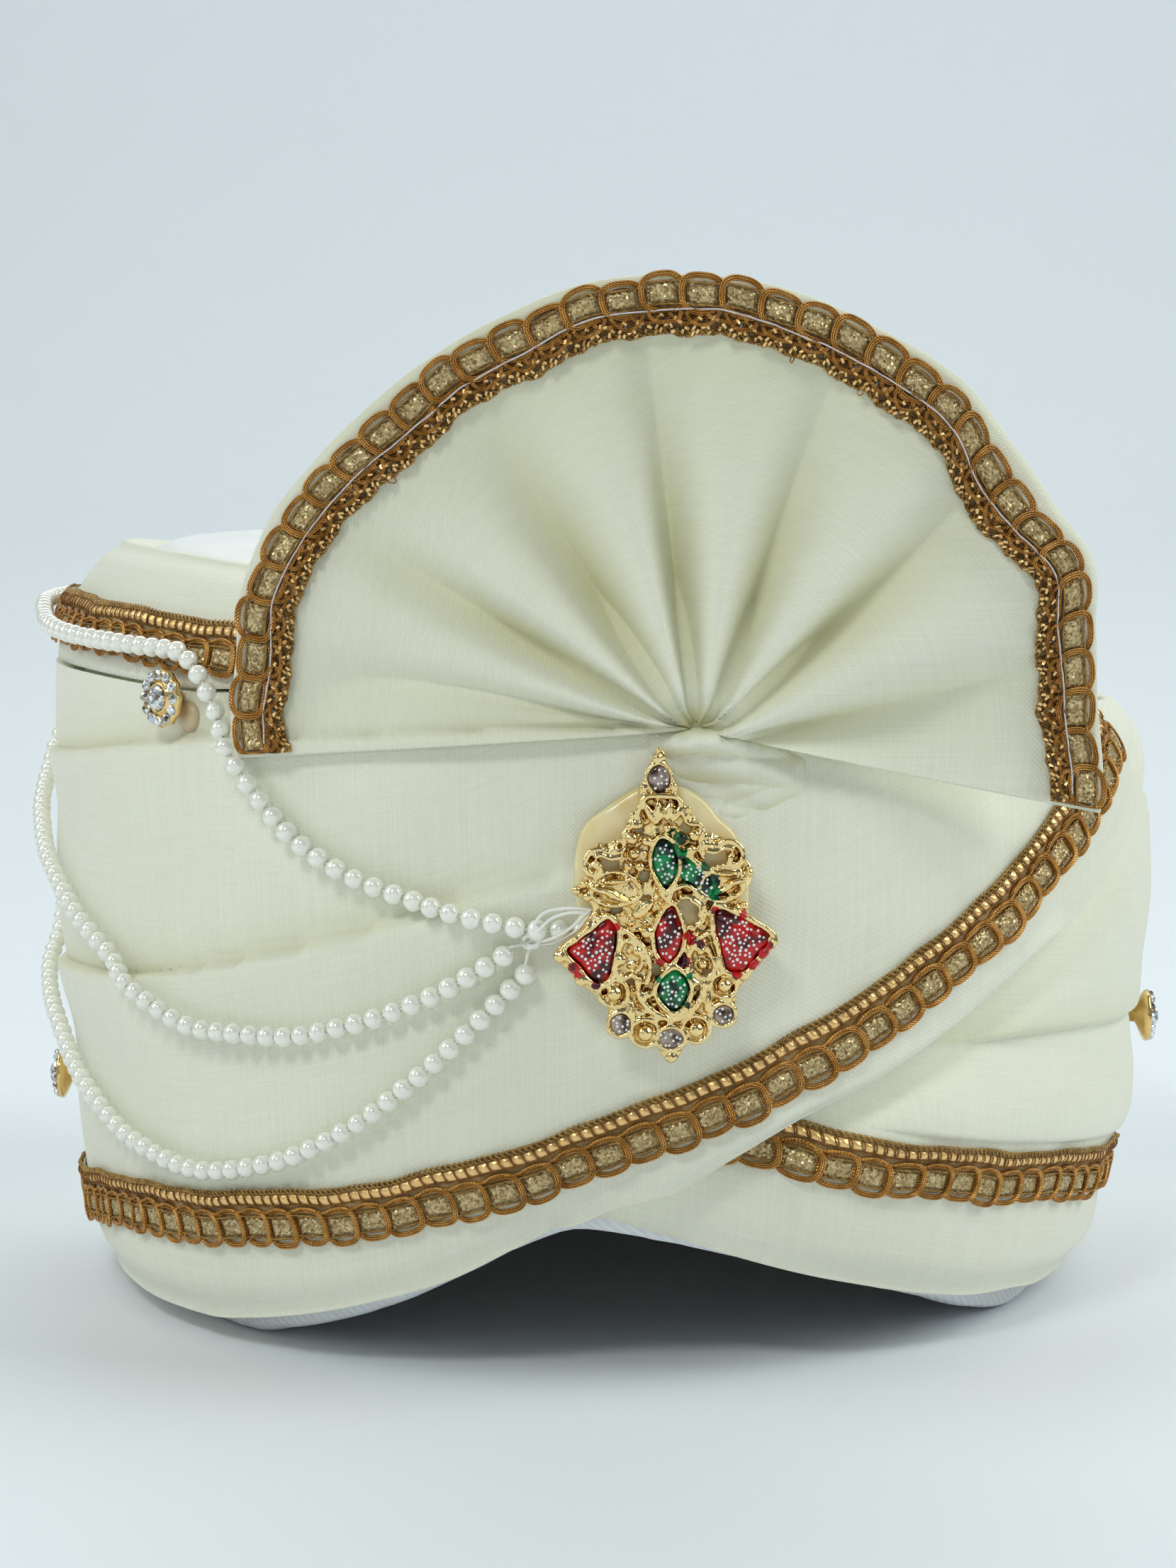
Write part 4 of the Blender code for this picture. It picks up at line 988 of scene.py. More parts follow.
gold_yarn = metal_yarn(
    "gold_yarn", (0.96, 0.48, 0.11), (0.62, 0.26, 0.035), 0.62, 0.34, 0.4, 0.25
)
dull_yarn = metal_yarn("dull_yarn", (0.8, 0.5, 0.15), (0.46, 0.24, 0.06), 0.5, 0.42, 0.35)
dark_yarn = metal_yarn("dark_yarn", (0.6, 0.28, 0.06), (0.3, 0.12, 0.025), 0.5, 0.5, 0.3)
foil_gold = clouded(
    "foil_gold", 0.3, 300.0, (0.9, 0.52, 0.18), (1.0, 0.7, 0.32),
    bump=(0.00015, 0.5), grain=1500.0, metallic=0.6,
)


def sparkle(name, cell, first, second, spread, rough, metallic):
    """Flakes, each with its own tone and tilt."""
    made = new_material(name, rough, metallic=metallic)
    nodes = Nodes(made)
    inputs = {"Vector": nodes.own_space(), "Scale": 1 / (cell * MM)}
    flakes = nodes.add("ShaderNodeTexVoronoi", inputs, output=1)
    share = nodes.split(flakes)
    tone = nodes.mix(share[0], first, second)
    nodes.colour(nodes.mix(nodes.ramp(share[1], 0.0, 0.3), (0.2, 0.11, 0.035), tone))
    facing = nodes.add("ShaderNodeNewGeometry", output=1)
    inputs = {0: facing, 1: (spread / 2, spread / 2, spread / 2)}
    middle = nodes.add("ShaderNodeVectorMath", inputs, operation="SUBTRACT")
    inputs = {0: flakes, 1: (spread, spread, spread), 2: middle}
    away = nodes.add("ShaderNodeVectorMath", inputs, operation="MULTIPLY_ADD")
    nodes.normal(nodes.add("ShaderNodeVectorMath", {0: away}, operation="NORMALIZE"))
    return made


glitter_gold = sparkle(
    "glitter_gold", 0.42, (0.34, 0.22, 0.08), (0.74, 0.6, 0.32), 0.8, 0.34, 0.55
)
lace_parts = (
    (pattern("lace_loops", cords), gold_yarn),
    (pattern("lace_foil", foil), foil_gold),
    (pattern("lace_glitter", glitter, smooth=False), glitter_gold),
    (pattern("lace_threads", threads), dull_yarn),
    (pattern("lace_binding", binding), dark_yarn),
)


def new_tree(name, taken, kind="NodeSocketGeometry"):
    """A geometry node tree, with the socket it takes and its last node."""
    tree = bpy.data.node_groups.new(name, "GeometryNodeTree")
    tree.interface.new_socket(taken, in_out="INPUT", socket_type=kind)
    tree.interface.new_socket("Geometry", in_out="OUTPUT", socket_type="NodeSocketGeometry")
    return tree, add_node(tree, "NodeGroupInput").outputs[0], add_node(tree, "NodeGroupOutput")


def copies(tree, piece, look, inputs):
    """Copies of a piece on points, realised, with their material."""
    info = add_node(tree, "GeometryNodeObjectInfo", {"Object": piece})
    inputs = {"Instance": info.outputs["Geometry"], **inputs}
    place = add_node(tree, "GeometryNodeInstanceOnPoints", inputs)
    real = add_node(tree, "GeometryNodeRealizeInstances", {0: place.outputs[0]})
    done = add_node(tree, "GeometryNodeSetMaterial", {0: real.outputs[0], "Material": look})
    return done.outputs[0]


def repeat_tree(parts):
    """Node tree that repeats each part along a line and gives it its material."""
    tree, count, end = new_tree("lace_repeat", "Count", "NodeSocketInt")
    inputs = {"Count": count, "Offset": (LACE_PITCH, 0, 0)}
    line = add_node(tree, "GeometryNodeMeshLine", inputs)
    inputs = {0: (0.98, 0.95, 0.9), 1: (1.02, 1.03, 1.15), "Seed": 4}
    size = add_node(tree, "FunctionNodeRandomValue", inputs, data_type="FLOAT_VECTOR")
    spots = {"Points": line.outputs["Mesh"], "Scale": size.outputs["Value"]}
    join = add_node(tree, "GeometryNodeJoinGeometry")
    for piece, look in parts:
        tree.links.new(copies(tree, piece, look, spots), join.inputs["Geometry"])
    tree.links.new(join.outputs["Geometry"], end.inputs["Geometry"])
    return tree


def settle(piece):
    """Makes what a piece's modifiers do part of its mesh."""
    graph = bpy.context.evaluated_depsgraph_get()
    mesh = bpy.data.meshes.new_from_object(piece.evaluated_get(graph), depsgraph=graph)
    piece.modifiers.clear()
    piece.data = mesh
    mesh.name = piece.name
    return mesh


def grown(name, tree, points=(), edges=(), faces=(), **values):
    """What a node tree makes from a line or surface given in millimetres, or from its inputs."""
    mesh = bpy.data.meshes.new(name)
    points = np.array(points, float).reshape(-1, 3) * MM
    mesh.from_pydata(points.tolist(), list(edges), list(faces))
    made = new_object(name, mesh)
    maker = made.modifiers.new("nodes", "NODES")
    maker.node_group = tree
    for item in tree.interface.items_tree:
        if item.in_out == "INPUT" and item.name in values:
            maker[item.identifier] = values[item.name]
    settle(made)
    return made


lace_tree = repeat_tree(lace_parts)
garland = [cords[0]]
for middle, deep, high in ((0.0, 2.6, 0.9), (3.4, 2.1, 0.6)):
    turns = np.radians(np.linspace(184, 356, 15))
    arc = np.stack([middle + 3.1 * np.cos(turns) + 3.4, 4.7 + deep * np.sin(turns)], -1)
    arc = np.concatenate([arc, high - 0.25 * np.sin(turns)[:, None]], axis=1)
    garland.append(sweep(arc, [(0.62 * x, y) for x, y in STRANDS[::-1]]))
for x0 in (0.4, 2.8, 5.0):
    x = x0 + np.linspace(0, 1.5, 8)
    y = 0.6 - 0.4 * np.sin(np.pi * (x - x0) / 1.5)
    garland.append(cord(x, y, 0.5 + 0.25 * np.cos(x), 0.17))
shards = []
for k in range(12):
    x, y = 0.6 * k + rng.uniform(0, 0.5), rng.uniform(0.5, 3.8)
    turn, tilt = rng.uniform(0, np.pi), rng.uniform(-0.5, 0.5, 2)
    chip = np.array([(-0.42, -0.24), (0.42, -0.24), (0.46, 0.24), (-0.4, 0.24)])
    chip = chip @ np.array([(np.cos(turn), np.sin(turn)), (-np.sin(turn), np.cos(turn))])
    top = np.column_stack([chip + (x, y), 1.35 + chip @ tilt])
    faces = [(0, 1, 2, 3), (7, 6, 5, 4)]
    faces += [(i, i + 4, (i + 1) % 4 + 4, (i + 1) % 4) for i in range(4)]
    points = np.concatenate([top, top - (0, 0, 0.12)])
    shards.append((points, faces, np.tile(UV_SQUARE, (6, 1))))
fan_parts = (
    (pattern("fan_lace_loops", garland), gold_yarn),
    (pattern("fan_lace_foil", shards, smooth=False), foil_gold),
) + lace_parts[2:]
fan_lace_tree = repeat_tree(fan_parts)


def smooth_max(values, reach):
    """The largest value within reach samples, then softened."""
    for axis, steps in enumerate(reach):
        best = values
        for shift in range(-steps, steps + 1):
            best = np.maximum(best, np.roll(values, shift, axis))
        total = 0
        for shift in range(-steps, steps + 1):
            total = total + np.roll(best, shift, axis)
        values = total / (2 * steps + 1)
    return values


draped_grid = smooth_max(cloth_grid, (1, 2))


def metric(angle):
    """Millimetres round the cloth to a degree."""
    turn = np.radians(angle)
    return np.radians(1) * np.hypot(HALF_WIDTH * np.cos(turn), HALF_DEPTH * np.sin(turn))


def edge_line(angles, heights):
    """Running length along an edge on the body, and its downward direction."""
    x = np.concatenate([[0], np.cumsum(np.diff(angles) * metric(0.5 * (angles[1:] + angles[:-1])))])
    run = np.concatenate([[0], np.cumsum(np.hypot(np.diff(x), np.diff(heights)))])
    way = np.stack([np.gradient(x, run), np.gradient(heights, run)], -1)
    for _ in range(12):
        way[1:-1] = (way[:-2] + way[1:-1] + way[2:]) / 3
    way = way / np.linalg.norm(way, axis=1, keepdims=True)
    return run, np.stack([way[:, 1], -way[:, 0]], -1)


def moved(mesh, place_on):
    """Moves a mesh's points; place_on gives new ones in millimetres for its own."""
    flat = np.empty(len(mesh.vertices) * 3, np.float32)
    mesh.vertices.foreach_get("co", flat)
    spot = place_on(flat.reshape(-1, 3).astype(float))
    mesh.vertices.foreach_set("co", (spot * MM).astype(np.float32).reshape(-1))
    mesh.update()


def bend_lace(band, length, count, place_on):
    """Moves a flat band's points on to an edge; place_on gives points from (along, across, up)."""
    flat_length = count * LACE_PITCH

    def bent(flat):
        reach = np.clip(flat[:, 0], -LACE_OVERRUN, flat_length + LACE_OVERRUN)
        along = reach * length / flat_length
        loose = ripple(((23, 31, 0.22, 0.3), (9.3, 17, 0.1, 2.0)), along, flat[:, 1])
        sway = ripple(((37, 90, 0.3, 1.1), (15, 50, 0.14, 3.0)), along, flat[:, 1])
        return place_on(along, flat[:, 1] + sway, flat[:, 2] + loose + 0.25)

    moved(band.data, bent)


def ground(name, length, count, place_on, look):
    """The lace's net ground: a thin band with a scalloped edge, closed on all sides."""
    along = np.linspace(0, length, count * 10 + 1)
    share = np.abs(np.sin(np.pi * along / length * count)) ** 0.55
    rows = []
    for stand in (0.3, 0.1):
        line = []
        for v in np.linspace(0, 1, 7):
            across = 0.5 + (LACE_WIDTH - 1.6 - 1.5 * (1 - share) - 0.5) * v
            line.append(place_on(along, across, stand + 0 * along))
        rows.append(line)
    grid = np.stack(rows[0] + rows[1][::-1], axis=1)
    net = skin(name, grid, (False, True))
    net.data.materials.append(look)
    return net


def net_look(name, inner):
    """Fine net, in the inner colour by the foil edge and cream under the loops' outer side."""
    made = new_material(name, 0.75, sheen=0.1)
    nodes = Nodes(made)
    over, holes = weave(nodes, 0.5)
    outwards = nodes.ramp(nodes.split(nodes.uv())[1], 0.0096, 0.0103)
    tint = nodes.mix(outwards, inner, (0.84, 0.82, 0.64))
    nodes.colour(nodes.mix(nodes.math("MULTIPLY", holes, 0.45), tint, (0.36, 0.27, 0.13)))
    nodes.bump(over, 0.0001, 0.6)
    return made


lace_net = net_look("lace_net", (0.42, 0.27, 0.1))


def body_lace(name, node, angles, heights, surface, count, width=LACE_WIDTH):
    """Lace along an edge on the body: its band, its net and its length."""
    run, down = edge_line(angles, heights)

    def place_on(along, across, up):
        at = np.interp(along, run, angles)
        high = np.interp(along, run, heights)
        dx, dz = np.interp(along, run, down[:, 0]), np.interp(along, run, down[:, 1])
        across = across * width / LACE_WIDTH
        turn = at + across * dx / metric(at)
        level = high + across * dz
        return on_oval(turn, level, surface(turn, level) + 0.2 + up)

    band = grown(name, lace_tree, Count=count)
    bend_lace(band, run[-1], count, place_on)
    net = ground(name + "_net", run[-1], count, place_on, lace_net)
    for piece in (band, net):
        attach(piece, "root")
    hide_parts(node)
    return band, net, run[-1]


def outer_cloth(angle, height):
    return sampled(draped_grid, angle, height)


FRONT_LACE = Table(
    ("angle", "height"),
    (-94, 23.4), (-80, 24.4), (-61, 30), (-47, 32.3), (-35, 35), (-21, 39.6), (-13.6, 44),
    (-6.7, 48.4), (-1, 52.5), (7.5, 59.5), (13, 64), (21.5, 72.7), (26.6, 79), (33.7, 87.7),
    (40, 96.7), (48, 108), (54, 116), (60, 123), (63.5, 126.6),
)
line = np.linspace(-94, 63.5, 300)
front_band, front_net, size = body_lace(
    "front_lace", "front_trim", line, FRONT_LACE.at("height", line), outer_cloth, 52
)

line = np.linspace(11, 262, 400)
hem = SIDE_LACE.at("height", line)
tucked = np.maximum(hem, 48.8 + 0.52 * (23 - line))


def side_cloth(angle, height):
    return base_out((angle + 180) % 360 - 180, height)


hem = np.where(line < 23, tucked, hem) - 0.2
side_band, side_net, size = body_lace(
    "side_lace", "side_trim", line, hem, side_cloth, 70, NARROW_LACE
)

line = np.linspace(126, 345, 400)
upper_band, upper_net, size = body_lace(
    "upper_lace", "upper_trim", line, crest(line) - 9.6, outer_cloth, 64, NARROW_LACE
)


def thread(name, path, radius, sides=5):
    """A thin round thread through points."""
    path = np.array(path, float)
    way = np.gradient(path, axis=0)
    way = way / np.linalg.norm(way, axis=1, keepdims=True)
    side = np.cross(way, (0.02, 0.01, 1.0))
    side = side / np.linalg.norm(side, axis=1, keepdims=True)
    up = np.cross(side, way)
    turns = 2 * np.pi * np.arange(sides) / sides
    ring = side[:, None] * np.cos(turns)[:, None] + up[:, None] * np.sin(turns)[:, None]
    return skin(name, path[:, None] + radius * ring, (False, True))


def fused(name, parts):
    """One object from several, each keeping its own materials."""
    for part in parts:
        part.select_set(True)
    with bpy.context.temp_override(active_object=parts[0], selected_editable_objects=parts):
        bpy.ops.object.join()
    parts[0].name = name
    parts[0].data.name = name
    parts[0].select_set(False)
    return parts[0]


FAN_LOOPS = 37
line = np.linspace(-11.5, 183.5, 500)
outline = FAN_OUTLINE.at("radius", line)
outline = outline - FAN_TRIM.at("cut", line) - FAN_TRIM.at("inset", line)
step = np.hypot(np.diff(outline), np.radians(np.diff(line)) * outline[1:])
fan_run = np.concatenate([[0], np.cumsum(step)])


def on_fan_edge(along, across, up):
    direction = np.interp(along, fan_run, line)
    rumple = 1 - ease((across - 3.4) / 2)
    across = across + rumple * ripple(((11, 40, 0.26, 0.2), (5.3, -23, 0.16, 1.4)), along, across)
    up = up + rumple * (0.4 + ripple(((7.3, 9, 0.4, 2.2), (2.9, 4, 0.35, 0.1)), along, across))
    sway = ripple(((61, 1e9, 0.35, 0.4), (27, 1e9, 0.25, 2.0)), along, 0)
    radius = np.interp(along, fan_run, outline) + sway - 0.3 - 0.93 * (LACE_WIDTH - across)
    spot = fan_front(direction, radius)
    spot[..., 1] -= 0.3 + up
    return spot


fan_band = grown("fan_lace", fan_lace_tree, Count=FAN_LOOPS)
bend_lace(fan_band, fan_run[-1], FAN_LOOPS, on_fan_edge)
# On the fan the net's inner colour is near black: painted shadow under the ruffled edge.
fan_lace_net = net_look("fan_lace_net", (0.16, 0.08, 0.02))
fan_net = ground("fan_lace_net", fan_run[-1], FAN_LOOPS, on_fan_edge, fan_lace_net)
lilac_thread = clouded("lilac_thread", 0.5, 700.0, (0.52, 0.49, 0.52), (0.8, 0.78, 0.8), sheen=0.3)
along = np.linspace(2, fan_run[-1] - 2, 900)
dip = np.clip(1.6 * np.cos(2 * np.pi * along / 7.9 + np.sin(along / 9)) + 1.25, -0.6, 0.25)
path = on_fan_edge(along, 4.9 + 0.3 * np.sin(along / 11), 1.35 + dip)
stitch = thread("fan_stitch", path, 0.16)
stitch.data.materials.append(lilac_thread)
STRAY_LOOPS = (
    # share of the way along the fan's edge, how far the yarn hangs out of the band, half its width
    (0.765, 1.9, 0.75), (0.43, 1.5, 0.35), (0.372, 1.7, 0.7), (0.2, 1.1, 0.6), (0.58, 0.9, 0.5),
)
strays = []
for share, hang, wide in STRAY_LOOPS:
    turn = np.radians(np.linspace(-40, 220, 14))
    along = share * fan_run[-1] + wide * np.cos(turn)
    path = on_fan_edge(along, 0.9 - hang * (0.5 + 0.5 * np.sin(turn)), 0.9 + 0.25 * np.cos(turn))
    strays.append(thread("stray", path, 0.14, 4))
strays = fused("fan_strays", strays)
strays.data.materials.append(gold_yarn)
for piece in (fan_band, fan_net, stitch, strays):
    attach(piece, "root")
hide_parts("fan_trim")
for piece, _ in lace_parts + fan_parts[:2]:
    bpy.data.objects.remove(piece)

# The knot: the fan's root is pinched hard together, one band of cloth crosses below the pinch, and
# the tail lies in soft folds that run out to the right under the fan's hem.


def curve_through(points, count, closed=False):
    """Points spaced evenly on a smooth curve through a few given ones."""
    points = np.array(points, float)
    n = len(points)
    spans = n if closed else n - 1
    at = np.linspace(0, spans, count, endpoint=not closed)
    i = np.minimum(at.astype(int), spans - 1)
    s = (at - i)[:, None]

    def given(k):
        return points[k % n] if closed else points[np.clip(k, 0, n - 1)]

    a, b, c, d = given(i - 1), given(i), given(i + 1), given(i + 2)
    return 0.5 * (
        2 * b + (c - a) * s + (2 * a - 5 * b + 4 * c - d) * s**2 + (3 * b - a - 3 * c + d) * s**3
    )


KNOT_FOLDS = (
    # half width of the fold, softness of its edge, then how far right and up it runs and stands
    (2.9, 0.7, ((-8, -2.6, 0), (-3, -2.4, 4.6), (1, -2.1, 7.6), (7, -3, 6.2), (15, -5.4, 1.5))),
    (5, 1.2, ((-3, -5.4, 0), (3, -5.6, 3.8), (9, -6.6, 4.2), (15, -8.2, 2.2), (21, -9.8, 0))),
    (4.4, 1.5, ((1, -12.6, 0), (6, -11, 1.2), (11, -9.8, 2), (16, -9.4, 1.4), (21, -10, 0))),
    (4, 1.5, ((3, -16.4, 0), (8, -14.2, 0.8), (13, -12, 1.5), (17, -10.6, 1.2), (21, -10.4, 0))),
)
across, up = np.meshgrid(np.linspace(-10, 20.5, 92), np.linspace(1.6, -18, 64), indexing="ij")
stand = np.full(across.shape, -0.5)
# crease holds painted shade: each fold is painted darker towards its edges, where it meets the
# cloth beside it.
crease = np.zeros(across.shape)
for wide, soft, points in KNOT_FOLDS:
    path = curve_through(points, 70)
    gap = np.hypot(across[..., None] - path[:, 0], up[..., None] - path[:, 1]) / wide
    high = path[:, 2] * np.clip(1 - gap**2, 0, 1) ** soft - 0.5
    ridge = high.max(axis=-1)
    lean = np.clip(gap.min(axis=-1), 0, 1) ** 1.6 * (ridge > -0.4)
    crease = np.where(ridge > stand, 0.95 * lean, crease)
    stand = np.maximum(stand, ridge)
x = KNOT_X + across + OVAL_CENTRE_X
z = KNOT_Z + up
skin_front = wrap_front(x, z)
slack = ripple(((9, 6, 0.14, 0.4), (4, -5, 0.08, 1.2)), across, up) * ease(stand + 0.5)
front = np.stack([x, skin_front - stand - slack, z], -1)
back = np.stack([x, skin_front + 0.9, z], -1)
grid = np.concatenate([front, back[:, ::-1]], axis=1)
crease = np.concatenate([crease, crease[:, ::-1]], axis=1)
knot = skin("knot_cloth", grid, (False, True), fold=crease)
knot.data.materials.append(cream_cloth)
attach(knot, "root")
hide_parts("fan_knot")

# The pearl strings: three strings of four millimetre beads hang in swags from a thread knot beside
# the brooch round to the left side. Each bead is dimpled at both ends, and a node tree spaces them
# on a thread.
BEAD_RADIUS = 2.0
BEAD_PITCH = 4.05
BEAD_SIDES = 14
PEARLS = {
    # step, angle, height and stand of each point
    "pearl_string_top": (
        (0, -1.6, 88.4, 2.3), (0.4, -4.6, 88.4, 2.3), (1, -14, 91.8, 2.6), (2, -22, 96.8, 2.6),
        (3, -28.5, 104.6, 2.6), (4, -33, 114.6, 3.0), (5, -36.4, 125.4, 3.6),
        (6, -38.8, 133.6, 4.4), (7, -42.0, 138.0, 4.7), (8, -48, 138.8, 4.6),
        (9, -58, 139.8, 4.6), (10, -72, 142.2, 4.6), (11, -86, 146, 4.6), (12, -99, 147.2, 4.6),
    ),
    "pearl_string_middle": (
        (0, -8.4, 83.6, 2.6), (1, -15, 75.5, 2.6), (2, -23, 69.2, 2.6), (3, -31, 65.8, 2.8),
        (4, -39, 65.6, 2.8), (5, -48, 71, 2.8), (6, -58, 80.5, 2.8), (7, -67, 89, 2.8),
        (8, -80, 98, 3.2), (9, -93, 109, 3.8), (10, -100, 125, 4.6), (11, -102, 140, 5.4),
    ),
    "pearl_string_low": (
        (0, -6.6, 80.2, 2.6), (1, -11.6, 69.5, 2.6), (2, -17.6, 58.2, 2.6), (3, -24, 48.6, 2.6),
        (4, -32.5, 40.8, 2.6), (5, -42, 37.4, 2.8), (6, -52, 40, 2.8), (7, -62, 47, 2.8),
        (8, -76, 58, 2.8), (9, -91, 72, 3.2), (10, -101, 92, 4.0), (11, -106, 115, 4.2),
        (12, -107.5, 140, 5.4),
    ),
}


rows = [(0.42, -1.1), (0.45, -1.8)]
for turn in np.radians(np.linspace(18, 162, 9)):
    rows.append((BEAD_RADIUS * np.sin(turn), -BEAD_RADIUS * 0.96 * np.cos(turn)))
rows += [(0.45, 1.8), (0.42, 1.1)]
turns = 2 * np.pi * np.arange(BEAD_SIDES) / BEAD_SIDES
points = [(x, r * np.cos(t), r * np.sin(t)) for r, x in rows for t in turns]
faces = []
for start in range(0, len(points) - BEAD_SIDES, BEAD_SIDES):
    for k in range(BEAD_SIDES):
        a, b = start + k, start + (k + 1) % BEAD_SIDES
        faces.append((a, a + BEAD_SIDES, b + BEAD_SIDES, b))
mesh = bpy.data.meshes.new("bead")
mesh.from_pydata(points, [], faces)
mesh.transform(Matrix.Scale(MM, 4))
bead = new_object("bead", mesh)
shut(bead)
mesh.shade_smooth()

pearl = clouded(
    "pearl", 0.2, 500.0, (0.9, 0.89, 0.77), (0.97, 0.96, 0.88), bump=(0.00005, 0.25), coat=1.0,
    more={"Coat Roughness": 0.03, "Coat IOR": 2.1, "IOR": 1.7},
)
white_thread = clouded("white_thread", 0.8, 1400.0, (0.86, 0.84, 0.74), (0.96, 0.95, 0.89))


def string_tree():
    """Node tree that strings pearl beads along a line of edges."""
    tree, line, end = new_tree("strung", "Line")
    curve = add_node(tree, "GeometryNodeMeshToCurve", {"Mesh": line})
    inputs = {"Curve": curve.outputs["Curve"], "Length": BEAD_PITCH * MM}
    spaced = add_node(tree, "GeometryNodeResampleCurve", inputs, mode="LENGTH")
    way = add_node(tree, "GeometryNodeInputTangent").outputs["Tangent"]
    turn = add_node(tree, "FunctionNodeAlignRotationToVector", {"Vector": way}, axis="X")
    size = add_node(tree, "FunctionNodeRandomValue", {2: 0.95, 3: 1.03})
    spots = {"Points": spaced.outputs["Curve"], "Scale": size.outputs[1]}
    spots["Rotation"] = turn.outputs["Rotation"]
    tree.links.new(copies(tree, bead, pearl, spots), end.inputs["Geometry"])
    return tree


def on_cloth(angle, height, stand):
    """A point that stands a little off the outermost cloth."""
    return on_oval(angle, height, sampled(draped_grid, angle, height) + stand)


beads_tree = string_tree()
for name, rows in PEARLS.items():
    table = Table(("step", "angle", "height", "stand"), *rows)
    at = np.linspace(0, table.rows[-1, 0], 160)
    angle, height = table.at("angle", at), table.at("height", at)
    path = on_cloth(angle, height, table.at("stand", at))
    edges = [(i, i + 1) for i in range(len(path) - 1)]
    string = grown(name + "_beads", beads_tree, path, edges)
    core = thread(name + "_thread", path, 0.33)
    core.data.materials.append(white_thread)
    string = fused(name + "_beads", [string, core])
    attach(string, "root")
    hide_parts(name)
bpy.data.objects.remove(bead)

# The tie: thick white thread, knotted below the top string. Its loops are carried up to the
# brooch.
TIE = (
    # angle, height and stand of each point
    ((-6.0, 86.4, 1.2), (-5.6, 89.6, 3.8), (-4.6, 92.2, 4.8), (-2.6, 93.0, 5.0), (-0.6, 92.4, 3.0)),
    ((-6.0, 86.8, 1.5), (-5.2, 88.8, 4.4), (-4.0, 91.2, 5.2), (-2.4, 92.2, 5.2), (-0.7, 91.8, 3.2)),
    ((-6.0, 86.2, 1.4), (-4.4, 87.0, 4.2), (-2.6, 89.2, 4.9), (-1.4, 91.8, 4.2), (-0.3, 93.0, 2.4)),
    ((-6.0, 85.8, 1.2), (-4.0, 86.4, 3.6), (-2.2, 88.6, 4.6), (-1.2, 91.0, 4.0), (-0.2, 92.4, 2.2)),
    ((-9.0, 84.2, 2.6), (-7.8, 85.2, 2.0), (-6.2, 86.2, 1.6), (-5.2, 87.6, 1.8)),
    ((-6.6, 81.0, 2.6), (-6.4, 83.6, 2.0), (-6.0, 86.0, 1.6), (-6.2, 88.0, 1.5)),
    ((-6.9, 86.0, 1.6), (-6.2, 85.2, 3.0), (-5.4, 86.2, 2.8), (-5.8, 87.4, 1.8), (-6.9, 86.6, 1.4)),
    ((-6.8, 87.0, 1.6), (-6.0, 87.6, 3.2), (-5.3, 86.6, 2.9), (-6.0, 85.6, 2.4), (-6.9, 86.2, 1.3)),
    ((-6.4, 85.4, 2.2), (-5.5, 85.4, 3.0), (-5.3, 87.2, 2.7), (-6.3, 87.8, 2.4), (-6.7, 86.4, 2.0)),
)
strands = []
for row in TIE:
    path = [on_cloth(*point) for point in row]
    strands.append(thread("tie", curve_through(path, 26), 0.31, 6))
tie = fused("string_tie_threads", strands)
tie.data.materials.append(white_thread)
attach(tie, "root")
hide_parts("string_tie")

# The studs: rhinestone flowers, twelve small clear stones round a larger one in a gilt cup, each on
# a short stem that is sewn and glued to the cloth.
STUDS = {
    "flower_stud_front": (-43.2, 129.0),
    "flower_stud_left": (-88.0, 41.0),
    "flower_stud_right": (86.0, 54.5),
}


def turned_grid(rows, sides, lobes=0, depth=0.0):
    """Rings of (across, up, along) for rows of (radius, along)."""
    turns = 2 * np.pi * np.arange(sides) / sides
    lobed = 1 - depth * (0.5 - 0.5 * np.cos(lobes * turns))
    across, up = lobed * np.cos(turns), lobed * np.sin(turns)
    return np.stack([np.stack([r * across, r * up, z + 0 * turns], -1) for r, z in rows], axis=1)


def lathe(name, grid, look, flat=False):
    """A closed solid over rings of points, with its material."""
    made = skin(name, grid, (True, False))
    shut(made, flat)
    made.data.materials.append(look)
    return made


gilt = clouded(
    "gilt", 0.24, 500.0, (0.83, 0.53, 0.18), (0.96, 0.72, 0.34), bump=(0.0002, 0.5), metallic=1.0
)
rhinestone = sparkle(
    "rhinestone", 0.9, (0.62, 0.68, 0.72), (0.97, 0.98, 1.0), 0.7, 0.08, 0.75
)
tan_glue = clouded("tan_glue", 0.35, 300.0, (0.5, 0.36, 0.2), (0.68, 0.55, 0.36), coat=0.2)
CUP = ((1.4, 0.0), (1.5, 1.6), (4.6, 3.0), (5.6, 3.6), (5.75, 4.4), (5.3, 4.9), (3.4, 4.7))
CUP += ((3.1, 5.3), (2.8, 5.6), (2.5, 5.3), (2.3, 4.8))
PETAL = ((0.95, 4.5), (1.12, 4.95), (0.98, 5.35), (0.5, 5.75))
PETAL_REACH = 4.45
PETALS = 12
HEART = ((2.35, 5.0), (2.55, 5.5), (2.0, 6.3), (1.15, 6.7))
GLUE_BLOB = ((2.9, -0.4), (3.0, 0.2), (2.4, 0.9), (1.0, 1.3))
UPWARDS = np.array([0.0, 0.0, 1.0])
